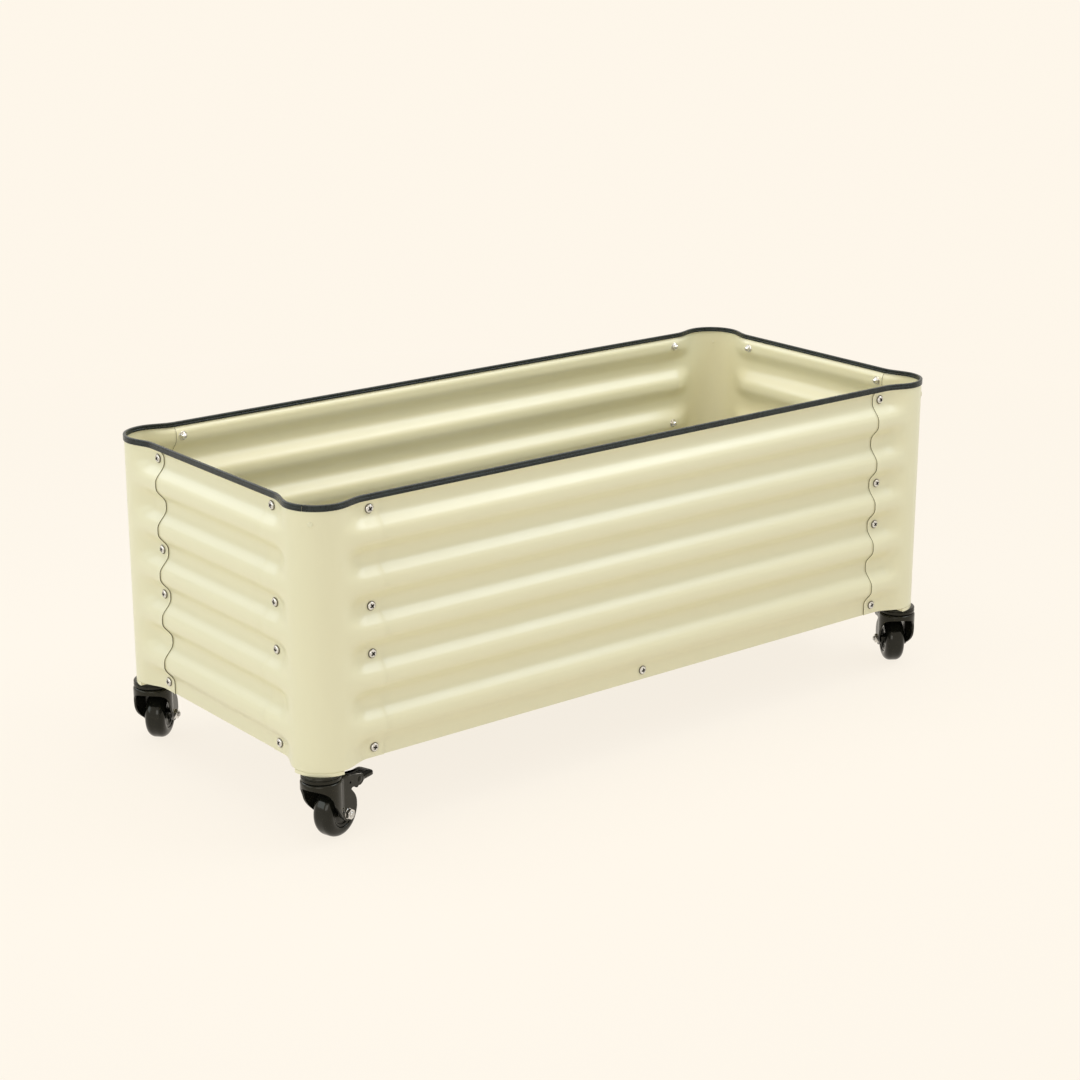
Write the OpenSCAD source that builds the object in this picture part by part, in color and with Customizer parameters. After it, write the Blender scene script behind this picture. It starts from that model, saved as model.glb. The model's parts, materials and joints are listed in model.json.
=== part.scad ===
// Rolling planter: a corrugated sheet tub on four braked swivel casters.
// Frame: X along the long walls, Y across, Z up. The origin is on the floor under the middle of the tub.
// The front is at -Y and the left end at -X.

/* [Tub] */
// Length over the outer faces of the short walls
tub_l = 1219; // [900:1:1800]
// Width over the outer faces of the long walls
tub_w = 533; // [480:1:900]
// Thickness of the wall sheets
sheet_t = 1; // [0.8:0.1:1.4]
// Height of one corrugation, from valley to valley
wave_pitch = 70; // [56:1:90]
// Depth of the corrugations, from crest to valley
wave_depth = 16; // [10:0.5:18]
// Width of the flat on each crest and in each valley
wave_land = 8; // [4:1:12]
// Crests up the height of a wall
wave_count = 5; // [3:1:7]
// Height of the sheets above the top valley
top_margin = 20; // [18:1:40]
// Flat sheet below the bottom valley
bottom_margin = 15; // [14:1:18]
// Outer radius of the rounded corners
corner_r = 50; // [42:1:60]
// Reach of a corner panel along each wall, from the outer face of the other wall
corner_leg = 127; // [122:1:170]
// Distance of the seam bolts from the edge of the corner panel
seam_edge = 16; // [12:1:20]
// Reach of a straight panel past the seam bolts. The corrugations fade out from there to the rounded corner
seam_lap = 11; // [10:1:24]

/* [Rim trim] */
// Wall thickness of the rubber strip
trim_wall = 1.2; // [1:0.1:2.5]
// Height of the strip below the sheet's top edge
trim_drop = 7; // [6:0.5:12]
// Thickness of the strip over the sheet's top edge
trim_crown = 2; // [1.5:0.1:4]

/* [Panel bolts] */
// Diameter of the bolt shank
bolt_d = 6; // [5:0.5:8]
// Diameter of the round bolt head
bolt_head_d = 12; // [10:0.1:13]
// Height of the round bolt head
bolt_head_h = 2.7; // [2:0.1:4]
// Diameter of the washer
washer_d = 14; // [13.5:0.5:18]
// Thickness of the washer
washer_t = 0.8; // [0.5:0.1:1.5]
// Width of the nut across its flats
nut_af = 10; // [9:0.5:13]
// Height of the hexagonal part of the nut
nut_h = 4; // [3:0.5:6]
// Diameter of the nut's round flange
nut_flange_d = 14; // [12:0.5:16]
// Thickness of the nut's flange
nut_flange_t = 1.2; // [0.8:0.1:1.6]
// Diameter of the plug in each rounded corner
plug_d = 8; // [6:0.5:12]
// Depth of the plugs below the sheet's top edge
plug_drop = 25; // [20:1:50]

/* [Base] */
// Thickness of the corner brackets' plates, which carry the casters
plate_t = 6; // [5:0.5:8]
// Thickness of the brackets' flanges
bracket_t = 3; // [2:0.5:5]
// Height of the brackets' flanges
bracket_flange_h = 36; // [30:1:45]
// Thickness of the rails and the crossbar
rail_t = 2; // [1.5:0.5:3]
// Height of the rails
rail_h = 34; // [28:1:42]
// Reach of the rails' ledges from the wall
ledge_w = 30; // [20:1:45]
// Width of the crossbar's top
crossbar_w = 44; // [30:1:70]
// Height of the crossbar's top above the ledges
crossbar_h = 26; // [25:1:30]
// Width of the crossbar's feet, which carry the trays
crossbar_foot = 20; // [12:1:30]
// Thickness of the base trays
tray_t = 1; // [0.8:0.1:1.5]
// Height of the trays' rims, floor included
tray_rim = 5; // [4:0.5:6.5]
// Diameter of the drain holes
drain_d = 9; // [6:0.5:14]

/* [Casters] */
// Diameter of the wheels
wheel_d = 75; // [65:0.5:80]
// Width of the tyres
tyre_w = 32; // [24:1:34]
// Rounding of the tyre's shoulders
tyre_round = 12; // [4:0.5:14]
// Diameter of the hub, inside the tyre
hub_d = 44; // [34:1:50]
// Distance of the swivel axis from the outer faces of both walls
swivel_inset = 30.5; // [28:0.5:40]
// Distance of the axle behind the swivel axis
trail = 30; // [24:1:34]
// Height of a caster, from the floor to the bracket's plate
caster_h = 107; // [104:1:125]
// Outer radius of the fork's round crown
crown_r = 30; // [27:0.5:32]
// Width over the fork's legs
fork_w = 46; // [44:1:50]
// Thickness of the fork's sheet
fork_t = 3; // [2:0.5:4]
// Height of the ball race, between the fork's crown and the swivel head
race_h = 5.8; // [5:0.1:7]
// Thickness of the swivel head
head_t = 5.2; // [4:0.1:7]
// Diameter of the threaded stem and of the kingpin
stem_d = 12; // [10:0.5:14]
// Length of the stem above the bracket
stem_above = 15; // [12:1:20]
// Balls in each race
ball_count = 12; // [6:1:16]
// Diameter of the axle bolts
axle_d = 8; // [6:0.5:10]
// Width of the axle bolt's head and nut across the flats
axle_af = 14; // [13:0.5:17]
// Reach of the pedal behind the swivel axis
pedal_reach = 105.5; // [95:0.5:115]
// Width of the pedal at its tip
pedal_w = 29; // [22:1:34]
// Thickness of the pedal's sheet
pedal_t = 2.5; // [1.5:0.1:3]
// Diameter of the pedal's pin
pin_d = 5; // [4:0.5:6]
// Direction in which the front left caster trails, from +X towards +Y
yaw_front_left = 19; // [0:1:359]
// Direction in which the back left caster trails
yaw_back_left = 43; // [0:1:359]
// Direction in which the front right caster trails
yaw_front_right = 56; // [0:1:359]
// Direction in which the back right caster trails
yaw_back_right = 200; // [0:1:359]

/* [Hidden] */
$fn = 48;

// Clearances
slip = 0.06;        // radial, between a shaft and its hole
touch_gap = 0.3;    // between moving faces
trim_slip = 0.15;   // between the trim's slot and the sheets
tray_slip = 1;      // between a tray's rim and what stands beside it
hole_slip = 0.25;   // radial, between a bolt and the hole it clamps
cut = 1;            // overshoot of a cutting shape
bolt_margin = 13;   // metal beyond a bolt, at the end of a rail's leg
edge_step = 2;      // between the ends of pieces that lie on each other
flange_gap = 10;    // from the end of a rounded corner to a bracket's flange
nut_gap = 5;        // from a stem nut to the notch in a tray

// Colours
cream = [0.91, 0.88, 0.77];
zinc = [0.72, 0.73, 0.74];
silver = [0.82, 0.82, 0.83];
rubber_black = [0.08, 0.09, 0.1];
fork_black = [0.11, 0.11, 0.12];
tyre_black = [0.06, 0.06, 0.07];

// Heights
wall_z = caster_h + plate_t;                      // bottom edge of the walls
valley_z = wall_z + bottom_margin;                // lowest valley, with the lowest bolts
top_valley_z = valley_z + wave_count * wave_pitch;
rim_z = top_valley_z + top_margin;                // top edge of the sheets
trim_top_z = rim_z + trim_crown;
ledge_top_z = wall_z + rail_t;                    // the trays rest here
tray_top_z = ledge_top_z + tray_t;
plug_z = rim_z - plug_drop;

// Corrugation: rows of points up a wall. The washers' rims meet the sheets at one of them
flank_steps = 3;                                  // steps from a washer's rim to the next crest
arc_steps = 5;                                    // flats round a corner, so that one faces out at 45 degrees
fade_steps = 4;
flank = wave_pitch / 2 - wave_land;               // height of the slope between two flats
crest_t = (wave_pitch - wave_land) / 2;           // from a valley to the edge of the next crest's flat
half_rows = [for (k = [0 : flank_steps]) washer_d / 2 + k * (crest_t - washer_d / 2) / flank_steps];
wave_rows = concat([0], half_rows, [for (t = reversed(half_rows)) wave_pitch - t]);
rim_lift = top_margin - trim_drop;                // from the top valley to the trim, where the wave stops
rim_rows = concat([for (t = half_rows) if (t < rim_lift) t], [rim_lift]);
rows = concat(
    [wall_z],
    [for (i = [0 : wave_count - 1], t = wave_rows) row_z(i) + t],
    [top_valley_z],
    [for (t = rim_rows) top_valley_z + t],
    [rim_z]);
bolt_rows = [0, floor(wave_count / 2), ceil(wave_count / 2), wave_count];
upper_rows = [for (i = bolt_rows) if (i > 0) i];

function reversed(v) = [for (i = [len(v) - 1 : -1 : 0]) v[i]];
function row_z(i) = valley_z + i * wave_pitch;

// Share of the full depth at a height above or below a valley: 1 in the valley, 0 on a crest
function wave_dip(d) = let (t = min(max(d - wave_land / 2, 0), flank)) (1 + cos(180 * t / flank)) / 2;
rim_dip = wave_dip(rim_lift);                     // inside the trim, where the sheets are upright

// The same at height z. The sheets are flat below the bottom valley. Above the top one the wave goes on up to
// the trim
function valley_distance(z) = wave_pitch / 2 - abs((z - valley_z) % wave_pitch - wave_pitch / 2);
function dip(z) =
    z <= valley_z ? 1 :
    wave_dip(z < top_valley_z ? valley_distance(z) : min(z - top_valley_z, rim_lift));

// Insets from the outer faces, at the valleys
washer_lift = wave_depth * (1 - dip(valley_z + washer_d / 2));
washer_in = wave_depth - washer_lift - washer_t;  // outer face of a seam's washer
sheets_in = wave_depth + 2 * sheet_t;             // inner face of two sheets
rail_in = sheets_in + rail_t;                     // inner face of a rail's leg
flange_in = rail_in + bracket_t;                  // inner face of a bracket's flange
seam_s = corner_leg - seam_edge;                  // seam bolts, from the other wall's outer face
panel_s = seam_s - seam_lap;                      // end of a straight panel
fade_run = panel_s - corner_r;                    // over which the corrugations fade out
rail_s = seam_s - bolt_margin;                    // end of a rail's leg
bracket_s = corner_leg - edge_step;               // end of a bracket's flange
ledge_s = corner_leg + edge_step;                 // end of a rail's ledge
flange_0 = corner_r + flange_gap;                 // start of a bracket's flange

// Share of the corrugation that is left at a distance s from the other wall's outer face
function smooth(t) = t * t * (3 - 2 * t);
function fade(s) = smooth(min(1, max(0, (s - corner_r) / fade_run)));

// Stations along a corner panel: [0, s] on the long wall, [1, angle] on the arc, [2, s] on the short wall
function leg_stations(reach) = concat(
    [reach], [for (i = [fade_steps : -1 : 0]) corner_r + i * fade_run / fade_steps]);
arc_stations = [for (i = [1 : arc_steps - 1]) [1, 270 - 90 * i / arc_steps]];
function stations(reach) = concat(
    [for (s = leg_stations(reach)) [0, s]],
    arc_stations,
    [for (s = reversed(leg_stations(reach))) [2, s]]);

// Plan position of a station, as insets from both walls. d: share of the corrugation, o: offset inwards
function plan(st, d, o) =
    st[0] == 0 ? [st[1], wave_depth * d * fade(st[1]) + o] :
    st[0] == 2 ? [wave_depth * d * fade(st[1]) + o, st[1]] :
    [corner_r + (corner_r - o) * cos(st[1]), corner_r + (corner_r - o) * sin(st[1])];

// ---- Placing ----

// The four corners: side of the tub in X and Y
CORNERS = [[-1, -1], [-1, 1], [1, -1], [1, 1]];

// Child drawn in insets from the two outer faces of one corner; mirrored so that insets grow inwards
module at_corner(side) {
    translate([side[0] * tub_l / 2, side[1] * tub_w / 2, 0])
        mirror([side[0] > 0 ? 1 : 0, 0, 0])
            mirror([0, side[1] > 0 ? 1 : 0, 0])
                children();
}

// Child whose +Z points inwards, at a bolt in a long wall (x, z) on the given side
module at_long_wall(x, z, side, inset) {
    translate([x, side * (tub_w / 2 - inset), z])
        rotate([side * 90, 0, 0])
            children();
}

// The same in a short wall
module at_short_wall(y, z, side, inset) {
    translate([side * (tub_l / 2 - inset), y, z])
        rotate([0, -side * 90, 0])
            children();
}

// Child at the bolts of one corner's seams, in the given rows: in the long wall and in the short wall
module at_long_seam(side, row_list, inset) {
    for (i = row_list)
        at_long_wall(side[0] * (tub_l / 2 - seam_s), row_z(i), side[1], inset) children();
}
module at_short_seam(side, row_list, inset) {
    for (i = row_list)
        at_short_wall(side[1] * (tub_w / 2 - seam_s), row_z(i), side[0], inset) children();
}
module at_seam_bolts(row_list, inset) {
    for (side = CORNERS) {
        at_long_seam(side, row_list, inset) children();
        at_short_seam(side, row_list, inset) children();
    }
}

// Child at the bolt in the middle of each long wall
module at_middle_bolts(inset) {
    for (side = [-1, 1])
        at_long_wall(0, valley_z, side, inset) children();
}

// ---- Walls ----

// Straight corrugated sheet, lying inside the corner panels: profile in insets and heights
module wave_profile() {
    polygon(concat(
        [for (z = rows) [wave_depth * dip(z) + sheet_t, z]],
        [for (z = reversed(rows)) [wave_depth * dip(z) + 2 * sheet_t, z]]));
}

module bolt_hole() {
    translate([0, 0, -wave_depth])
        cylinder(h = 3 * wave_depth + flange_in, r = bolt_d / 2 + hole_slip, $fn = 24);
}

// side: -1 for the front wall, 1 for the back wall
module long_panel(side) {
    color(cream)
    difference() {
        translate([0, side * tub_w / 2, 0])
            mirror([0, side > 0 ? 1 : 0, 0])
                rotate([90, 0, 90])
                    translate([0, 0, panel_s - tub_l / 2])
                        linear_extrude(tub_l - 2 * panel_s)
                            wave_profile();
        for (end = [-1, 1])
            at_long_seam([end, side], bolt_rows, 0) bolt_hole();
        at_middle_bolts(0) bolt_hole();
    }
}

// side: -1 for the left wall, 1 for the right wall
module short_panel(side) {
    color(cream)
    difference() {
        translate([side * tub_l / 2, 0, 0])
            mirror([side > 0 ? 1 : 0, 0, 0])
                rotate([90, 0, 0])
                    translate([0, 0, panel_s - tub_w / 2])
                        linear_extrude(tub_w - 2 * panel_s)
                            wave_profile();
        for (end = [-1, 1])
            at_short_seam([side, end], bolt_rows, 0) bolt_hole();
    }
}

// Corner panel as one closed surface: an outer and an inner grid of stations and rows
module corner_sheet() {
    st = stations(corner_leg);
    n = len(st);
    m = len(rows);
    grid = [for (o = [0, sheet_t], z = rows, s = st) concat(plan(s, dip(z), o), [z])];
    inner = n * m;
    function cell(i, j) = j * n + i;
    outer_faces = [for (j = [0 : m - 2], i = [0 : n - 2], half = [0, 1])
        half == 0 ? [cell(i, j), cell(i + 1, j), cell(i + 1, j + 1)]
                  : [cell(i, j), cell(i + 1, j + 1), cell(i, j + 1)]];
    inner_faces = [for (f = outer_faces) [inner + f[2], inner + f[1], inner + f[0]]];
    low_edge = [for (i = [0 : n - 2], half = [0, 1])
        half == 0 ? [cell(i + 1, 0), cell(i, 0), inner + cell(i, 0)]
                  : [cell(i + 1, 0), inner + cell(i, 0), inner + cell(i + 1, 0)]];
    high_edge = [for (i = [0 : n - 2], half = [0, 1])
        half == 0 ? [cell(i, m - 1), cell(i + 1, m - 1), inner + cell(i + 1, m - 1)]
                  : [cell(i, m - 1), inner + cell(i + 1, m - 1), inner + cell(i, m - 1)]];
    near_edge = [for (j = [0 : m - 2], half = [0, 1])
        half == 0 ? [cell(0, j), cell(0, j + 1), inner + cell(0, j + 1)]
                  : [cell(0, j), inner + cell(0, j + 1), inner + cell(0, j)]];
    far_edge = [for (j = [0 : m - 2], half = [0, 1])
        half == 0 ? [cell(n - 1, j + 1), cell(n - 1, j), inner + cell(n - 1, j)]
                  : [cell(n - 1, j + 1), inner + cell(n - 1, j), inner + cell(n - 1, j + 1)]];
    polyhedron(grid, concat(outer_faces, inner_faces, low_edge, high_edge, near_edge, far_edge));
}

// Axis of a corner's plug, pointing inwards from the outer face of the flat at 45 degrees
flat_r = corner_r * cos(45 / arc_steps);
module at_plug() {
    translate([corner_r - flat_r * cos(45), corner_r - flat_r * sin(45), plug_z])
        rotate([0, 90, 45])
            children();
}

module corner_panel(side) {
    color(cream)
    difference() {
        at_corner(side) corner_sheet();
        at_long_seam(side, bolt_rows, 0) bolt_hole();
        at_short_seam(side, bolt_rows, 0) bolt_hole();
        at_corner(side)
            at_plug()
                translate([0, 0, -cut])
                    cylinder(h = sheet_t + 2 * cut, r = plug_d / 4 + slip, $fn = 24);
    }
}

// ---- Rim trim, plugs and fasteners ----

// Outline of the tub's top edge, offset inwards by o, going round once
function corner_outline(side, o) = [for (st = stations(corner_leg))
    let (p = plan(st, rim_dip, o)) [side[0] * (tub_l / 2 - p[0]), side[1] * (tub_w / 2 - p[1])]];
function outline(o) = concat(
    corner_outline([-1, -1], o),
    reversed(corner_outline([-1, 1], o)),
    corner_outline([1, 1], o),
    reversed(corner_outline([1, -1], o)));

module ring(z, h, outer, inner) {
    translate([0, 0, z])
        linear_extrude(h)
            difference() {
                polygon(outline(outer));
                polygon(outline(inner));
            }
}

module rim_trim() {
    color(rubber_black)
    difference() {
        ring(rim_z - trim_drop, trim_drop + trim_crown,
            -trim_slip - trim_wall, 2 * sheet_t + trim_slip + trim_wall);
        ring(rim_z - trim_drop - cut, trim_drop + cut, -trim_slip, 2 * sheet_t + trim_slip);
    }
}

plug_head_h = 1.2;
plug_tail = 2;
module corner_plugs() {
    color(cream)
    for (side = CORNERS)
        at_corner(side)
            at_plug() {
                translate([0, 0, -plug_head_h])
                    cylinder(h = plug_head_h, r1 = plug_d / 2 - plug_head_h / 2, r2 = plug_d / 2);
                cylinder(h = sheet_t + plug_tail, r = plug_d / 4);
            }
}

// Button head and shank; +Z points inwards from the washer's outer face. grip: from there to the nut
module panel_bolt(grip) {
    head_edge = 0.7;
    rotate_extrude($fn = 32)
        polygon(concat(
            [[0, 0], [0, -bolt_head_h]],
            [for (a = [60 : -20 : 0])
                [bolt_head_d / 2 * cos(a), -head_edge - (bolt_head_h - head_edge) * sin(a)]],
            [[bolt_head_d / 2, 0]]));
    cylinder(h = grip + nut_h, r = bolt_d / 2, $fn = 24);
}

middle_in = washer_in + sheet_t;                    // outer face of a middle bolt's washer

module panel_bolts() {
    color(silver) {
        at_seam_bolts(upper_rows, washer_in) panel_bolt(sheets_in - washer_in);
        at_seam_bolts([0], washer_in) panel_bolt(flange_in - washer_in);
        at_middle_bolts(middle_in) panel_bolt(flange_in - middle_in);
    }
}

module washer() {
    difference() {
        cylinder(h = washer_t, r = washer_d / 2, $fn = 32);
        translate([0, 0, -cut]) cylinder(h = washer_t + 2 * cut, r = bolt_d / 2 + hole_slip, $fn = 24);
    }
}

module panel_washers() {
    color(zinc) {
        at_seam_bolts(bolt_rows, washer_in) washer();
        at_middle_bolts(middle_in) washer();
    }
}

// Domed nut with a round flange; +Z points inwards from its seat
module dome_nut() {
    dome_r = nut_af / 2 - 0.4;
    dome_sink = 0.5;
    difference() {
        union() {
            cylinder(h = nut_flange_t, r = nut_flange_d / 2, $fn = 32);
            cylinder(h = nut_h, r = nut_af / 2 / cos(30), $fn = 6);
            translate([0, 0, nut_h - dome_sink])
                rotate_extrude($fn = 32)
                    polygon(concat([[0, 0]], [for (a = [0 : 18 : 90]) dome_r * [cos(a), sin(a)]]));
        }
        translate([0, 0, -cut]) cylinder(h = nut_h + cut, r = bolt_d / 2 + slip, $fn = 24);
    }
}

module panel_nuts() {
    color(silver) {
        at_seam_bolts(upper_rows, sheets_in) dome_nut();
        at_seam_bolts([0], flange_in) dome_nut();
        at_middle_bolts(flange_in) dome_nut();
    }
}

// ---- Base ----

// Plate under the corner, and two flanges up inside the rails' legs. The plate's edge shows under the sheets
// round the corner's arc, and lies behind them along the walls
module corner_bracket(side) {
    plate_in = flange_in + ledge_w;
    plate = concat(
        [[corner_leg, plate_in], [corner_leg, sheets_in], [corner_r, sheets_in]],
        [for (st = concat([[0, corner_r]], arc_stations, [[2, corner_r]])) plan(st, 1, 0)],
        [[sheets_in, corner_r], [sheets_in, corner_leg], [plate_in, corner_leg]]);
    color(cream)
    difference() {
        at_corner(side) {
            translate([0, 0, caster_h])
                linear_extrude(plate_t)
                    polygon(plate);
            translate([flange_0, rail_in, wall_z])
                cube([bracket_s - flange_0, bracket_t, bracket_flange_h]);
            translate([rail_in, flange_0, wall_z])
                cube([bracket_t, bracket_s - flange_0, bracket_flange_h]);
        }
        at_corner(side)
            translate([swivel_inset, swivel_inset, caster_h - cut])
                cylinder(h = plate_t + 2 * cut, r = stem_d / 2 + slip);
        at_long_seam(side, [0], 0) bolt_hole();
        at_short_seam(side, [0], 0) bolt_hole();
    }
}

// Angle section along a wall of the given length; x runs along the wall and y is the inset
module rail_angle(length) {
    translate([rail_s - length / 2, sheets_in, wall_z])
        cube([length - 2 * rail_s, rail_t, rail_h]);
    translate([ledge_s - length / 2, sheets_in, wall_z])
        cube([length - 2 * ledge_s, ledge_w, rail_t]);
}

module long_rail(side) {
    color(zinc)
    difference() {
        translate([0, side * tub_w / 2, 0])
            mirror([0, side > 0 ? 1 : 0, 0])
                rail_angle(tub_l);
        for (end = [-1, 1])
            at_long_seam([end, side], [0], 0) bolt_hole();
        at_middle_bolts(0) bolt_hole();
    }
}

module short_rail(side) {
    color(zinc)
    difference() {
        translate([side * tub_l / 2, 0, 0])
            mirror([side > 0 ? 1 : 0, 0, 0])
                rotate([0, 0, -90])
                    rail_angle(tub_w);
        for (end = [-1, 1])
            at_short_seam([side, end], [0], 0) bolt_hole();
    }
}

// Hat section from the front rail to the back rail, with a bolted tab at each end
module centre_crossbar() {
    span = tub_w - 2 * rail_in;
    feet_span = tub_w - 2 * (sheets_in + ledge_w) - 2 * tray_slip;
    color(zinc)
    difference() {
        union() {
            translate([-crossbar_w / 2, -span / 2, ledge_top_z])
                cube([crossbar_w, span, crossbar_h]);
            translate([-crossbar_w / 2 - crossbar_foot, -feet_span / 2, wall_z])
                cube([crossbar_w + 2 * crossbar_foot, feet_span, rail_t]);
            for (side = [0, 1])
                mirror([0, side, 0])
                    translate([-crossbar_w / 2, -span / 2, ledge_top_z])
                        cube([crossbar_w, bracket_t, rail_h - rail_t]);
        }
        translate([-crossbar_w / 2 + rail_t, -span / 2 + bracket_t, wall_z - cut])
            cube([crossbar_w - 2 * rail_t, span - 2 * bracket_t, crossbar_h + cut]);
        at_middle_bolts(0) bolt_hole();
    }
}

// Tray with a low rim and drain holes. Its corner is cut away over the stem nut
stem_nut_h = 10;
stem_nut_af = stem_d + 7;
tray_in = flange_in + nut_flange_t + tray_slip;
tray_x0 = crossbar_w / 2 + tray_slip / 2;
notch = swivel_inset + stem_nut_af / 2 / cos(30) + nut_gap;

module tray_plan(shrink) {
    x1 = tub_l / 2 - tray_in - shrink;
    y1 = tub_w / 2 - tray_in - shrink;
    n1 = [tub_l / 2 - notch - shrink, tub_w / 2 - notch - shrink];
    polygon([[tray_x0 + shrink, -y1], [n1[0], -y1], [n1[0], -n1[1]], [x1, -n1[1]],
        [x1, n1[1]], [n1[0], n1[1]], [n1[0], y1], [tray_x0 + shrink, y1]]);
}

module base_tray(side) {
    drain_rows = 3;
    drain_cols = 6;
    step_x = (tub_l / 2 - corner_leg - crossbar_w) / (drain_cols - 1);
    step_y = (tub_w - 2 * corner_leg) / (drain_rows - 1);
    color(zinc)
    mirror([side < 0 ? 1 : 0, 0, 0])
        difference() {
            translate([0, 0, ledge_top_z]) linear_extrude(tray_rim) tray_plan(0);
            translate([0, 0, tray_top_z]) linear_extrude(tray_rim) tray_plan(tray_t);
            for (i = [0 : drain_cols - 1], j = [0 : drain_rows - 1])
                translate([crossbar_w + crossbar_foot + i * step_x, (j - (drain_rows - 1) / 2) * step_y,
                           ledge_top_z - cut])
                    cylinder(h = tray_t + 2 * cut, r = drain_d / 2, $fn = 24);
        }
}

module stem_nuts() {
    color(zinc)
    for (side = CORNERS)
        at_corner(side)
            translate([swivel_inset, swivel_inset, wall_z])
                difference() {
                    cylinder(h = stem_nut_h, r = stem_nut_af / 2 / cos(30), $fn = 6);
                    translate([0, 0, -cut]) cylinder(h = stem_nut_h + 2 * cut, r = stem_d / 2 + slip);
                }
}

// ---- Casters ----
// Drawn about the swivel axis, on the floor, trailing along +X

wheel_r = wheel_d / 2;
crown_top_z = caster_h - head_t - race_h;
crown_z = crown_top_z - fork_t;                    // underside of the crown
leg_out = fork_w / 2;
leg_in = leg_out - fork_t;
lip_r = crown_r - 1;                               // outside of the swivel head
lip_t = 2;
race_r = (lip_r - lip_t + stem_d / 2) / 2;         // middle of the ball race
ball_r = race_h / 2 - touch_gap;
ear = [59, crown_top_z - 16.5];                    // pedal's pin
ear_r = 9;
ear_end = ear[0] + ear_r - 1;
hub_half = leg_in - touch_gap;

module caster(side, yaw) {
    translate([side[0] * (tub_l / 2 - swivel_inset), side[1] * (tub_w / 2 - swivel_inset), 0])
        rotate([0, 0, yaw])
            children();
}

// Points of a curve that leaves a towards b and arrives at c from b, without a itself
function bend(a, b, c, steps) = [for (i = [1 : steps])
    let (t = i / steps) (1 - t) * (1 - t) * a + 2 * t * (1 - t) * b + t * t * c];
function arc_points(centre, r, from, to, steps) = [for (i = [0 : steps])
    let (a = from + (to - from) * i / steps) centre + r * [cos(a), sin(a)]];

module race_balls() {
    color(silver)
    for (side = CORNERS, i = [0 : ball_count - 1])
        caster(side, i * 360 / ball_count)
            translate([race_r, 0, crown_top_z + race_h / 2])
                sphere(r = ball_r, $fn = 24);
}

// Stem, race plate with a lip over the balls, and a kingpin that holds the fork from below
module swivel_head() {
    lip_z = crown_top_z + 1.3;
    race_top_z = crown_top_z + race_h;
    groove_z = race_top_z + 0.4;
    groove_h = 0.8;
    groove_t = 0.6;
    king_z = crown_z - touch_gap;
    king_head_h = 4;
    color(fork_black)
    difference() {
        union() {
            cylinder_between(lip_z, caster_h, lip_r);
            cylinder_between(king_z - 1, wall_z + stem_above, stem_d / 2);
        }
        difference() {
            cylinder_between(crown_top_z, race_top_z, lip_r - lip_t);
            cylinder_between(crown_top_z, race_top_z, stem_d / 2);
        }
        difference() {
            cylinder_between(groove_z, groove_z + groove_h, lip_r + cut);
            cylinder_between(groove_z, groove_z + groove_h, lip_r - groove_t);
        }
    }
    color(fork_black)
        cylinder_between(king_z - king_head_h, king_z, stem_d / 2 + king_head_h);
}

module cylinder_between(z0, z1, r) {
    translate([0, 0, z0]) cylinder(h = z1 - z0, r = r);
}

// Side view of the fork: along the trail and up
module fork_side() {
    arch = [-crown_r - cut, crown_top_z - 8];      // the arch starts below the crown's rim,
    knee = [-4, crown_top_z - 36];                 // turns down over the tyre,
    toe = [trail + 3, wheel_r + 6.5];              // and ends in a round lobe about the axle
    toe_r = 18;
    lobe_from = 218;
    lobe_step = 12;
    lobe_top = toe + [toe_r, 4];
    polygon(concat(
        [[-crown_r - cut, crown_top_z], arch],
        bend(arch, [-13, crown_top_z - 12], knee, 7),
        bend(knee, [3, crown_top_z - 49], toe + toe_r * [cos(lobe_from), sin(lobe_from)], 7),
        arc_points(toe, toe_r, lobe_from + lobe_step, 360, 11),
        [lobe_top],
        bend(lobe_top, [lobe_top[0], crown_top_z - 36], [38.5, crown_top_z - 25], 5),
        [[41, crown_top_z - 22.5], [50, crown_top_z - 24], [ear[0] - 2, crown_top_z - 27]],
        arc_points(ear, ear_r, 280, 400, 8),
        [[52, crown_top_z - 7], [41, crown_top_z - 4], [26, crown_top_z]]));
}

module fork_plan(r, w) {
    circle(r = r);
    translate([0, -w]) square([ear_end + 2 * cut, 2 * w]);
}

module fork() {
    ear_hole = [37, crown_top_z - 14];
    ear_hole_r = 2;
    color(fork_black)
    difference() {
        intersection() {
            rotate([90, 0, 0])
                translate([0, 0, -crown_r - cut])
                    linear_extrude(2 * crown_r + 2 * cut)
                        fork_side();
            difference() {
                linear_extrude(crown_top_z) fork_plan(crown_r, leg_out);
                translate([0, 0, -cut]) linear_extrude(crown_z + cut) {
                    circle(r = crown_r - fork_t);
                    translate([0, -leg_in]) square([2 * ear_end, 2 * leg_in]);
                }
            }
        }
        translate([0, 0, crown_z - cut]) cylinder(h = fork_t + 2 * cut, r = stem_d / 2 + slip);
        across([trail, wheel_r], -fork_w, fork_w, axle_d / 2 + slip);
        across(ear, -fork_w, fork_w, pin_d / 2 + slip);
        across(ear_hole, -fork_w, fork_w, ear_hole_r);
    }
}

// Cylinder across the caster, at p = [along the trail, up], from n0 to n1 towards the caster's left
module across(p, n0, n1, r, sides = 48) {
    translate([p[0], n1, p[1]])
        rotate([90, 0, 0])
            cylinder(h = n1 - n0, r = r, $fn = sides);
}

axle_head_h = 5.3;
axle_nut_h = 6.5;
axle_tail = 2.5;

// The nut's side: -1 is the caster's right, 1 its left
module axle_bolt(nut_side) {
    color(zinc)
    mirror([0, nut_side > 0 ? 1 : 0, 0]) {
        across([trail, wheel_r], leg_out, leg_out + axle_head_h, axle_af / 2 / cos(30), 6);
        across([trail, wheel_r], -leg_out - axle_nut_h - axle_tail, leg_out, axle_d / 2);
    }
}

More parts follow.
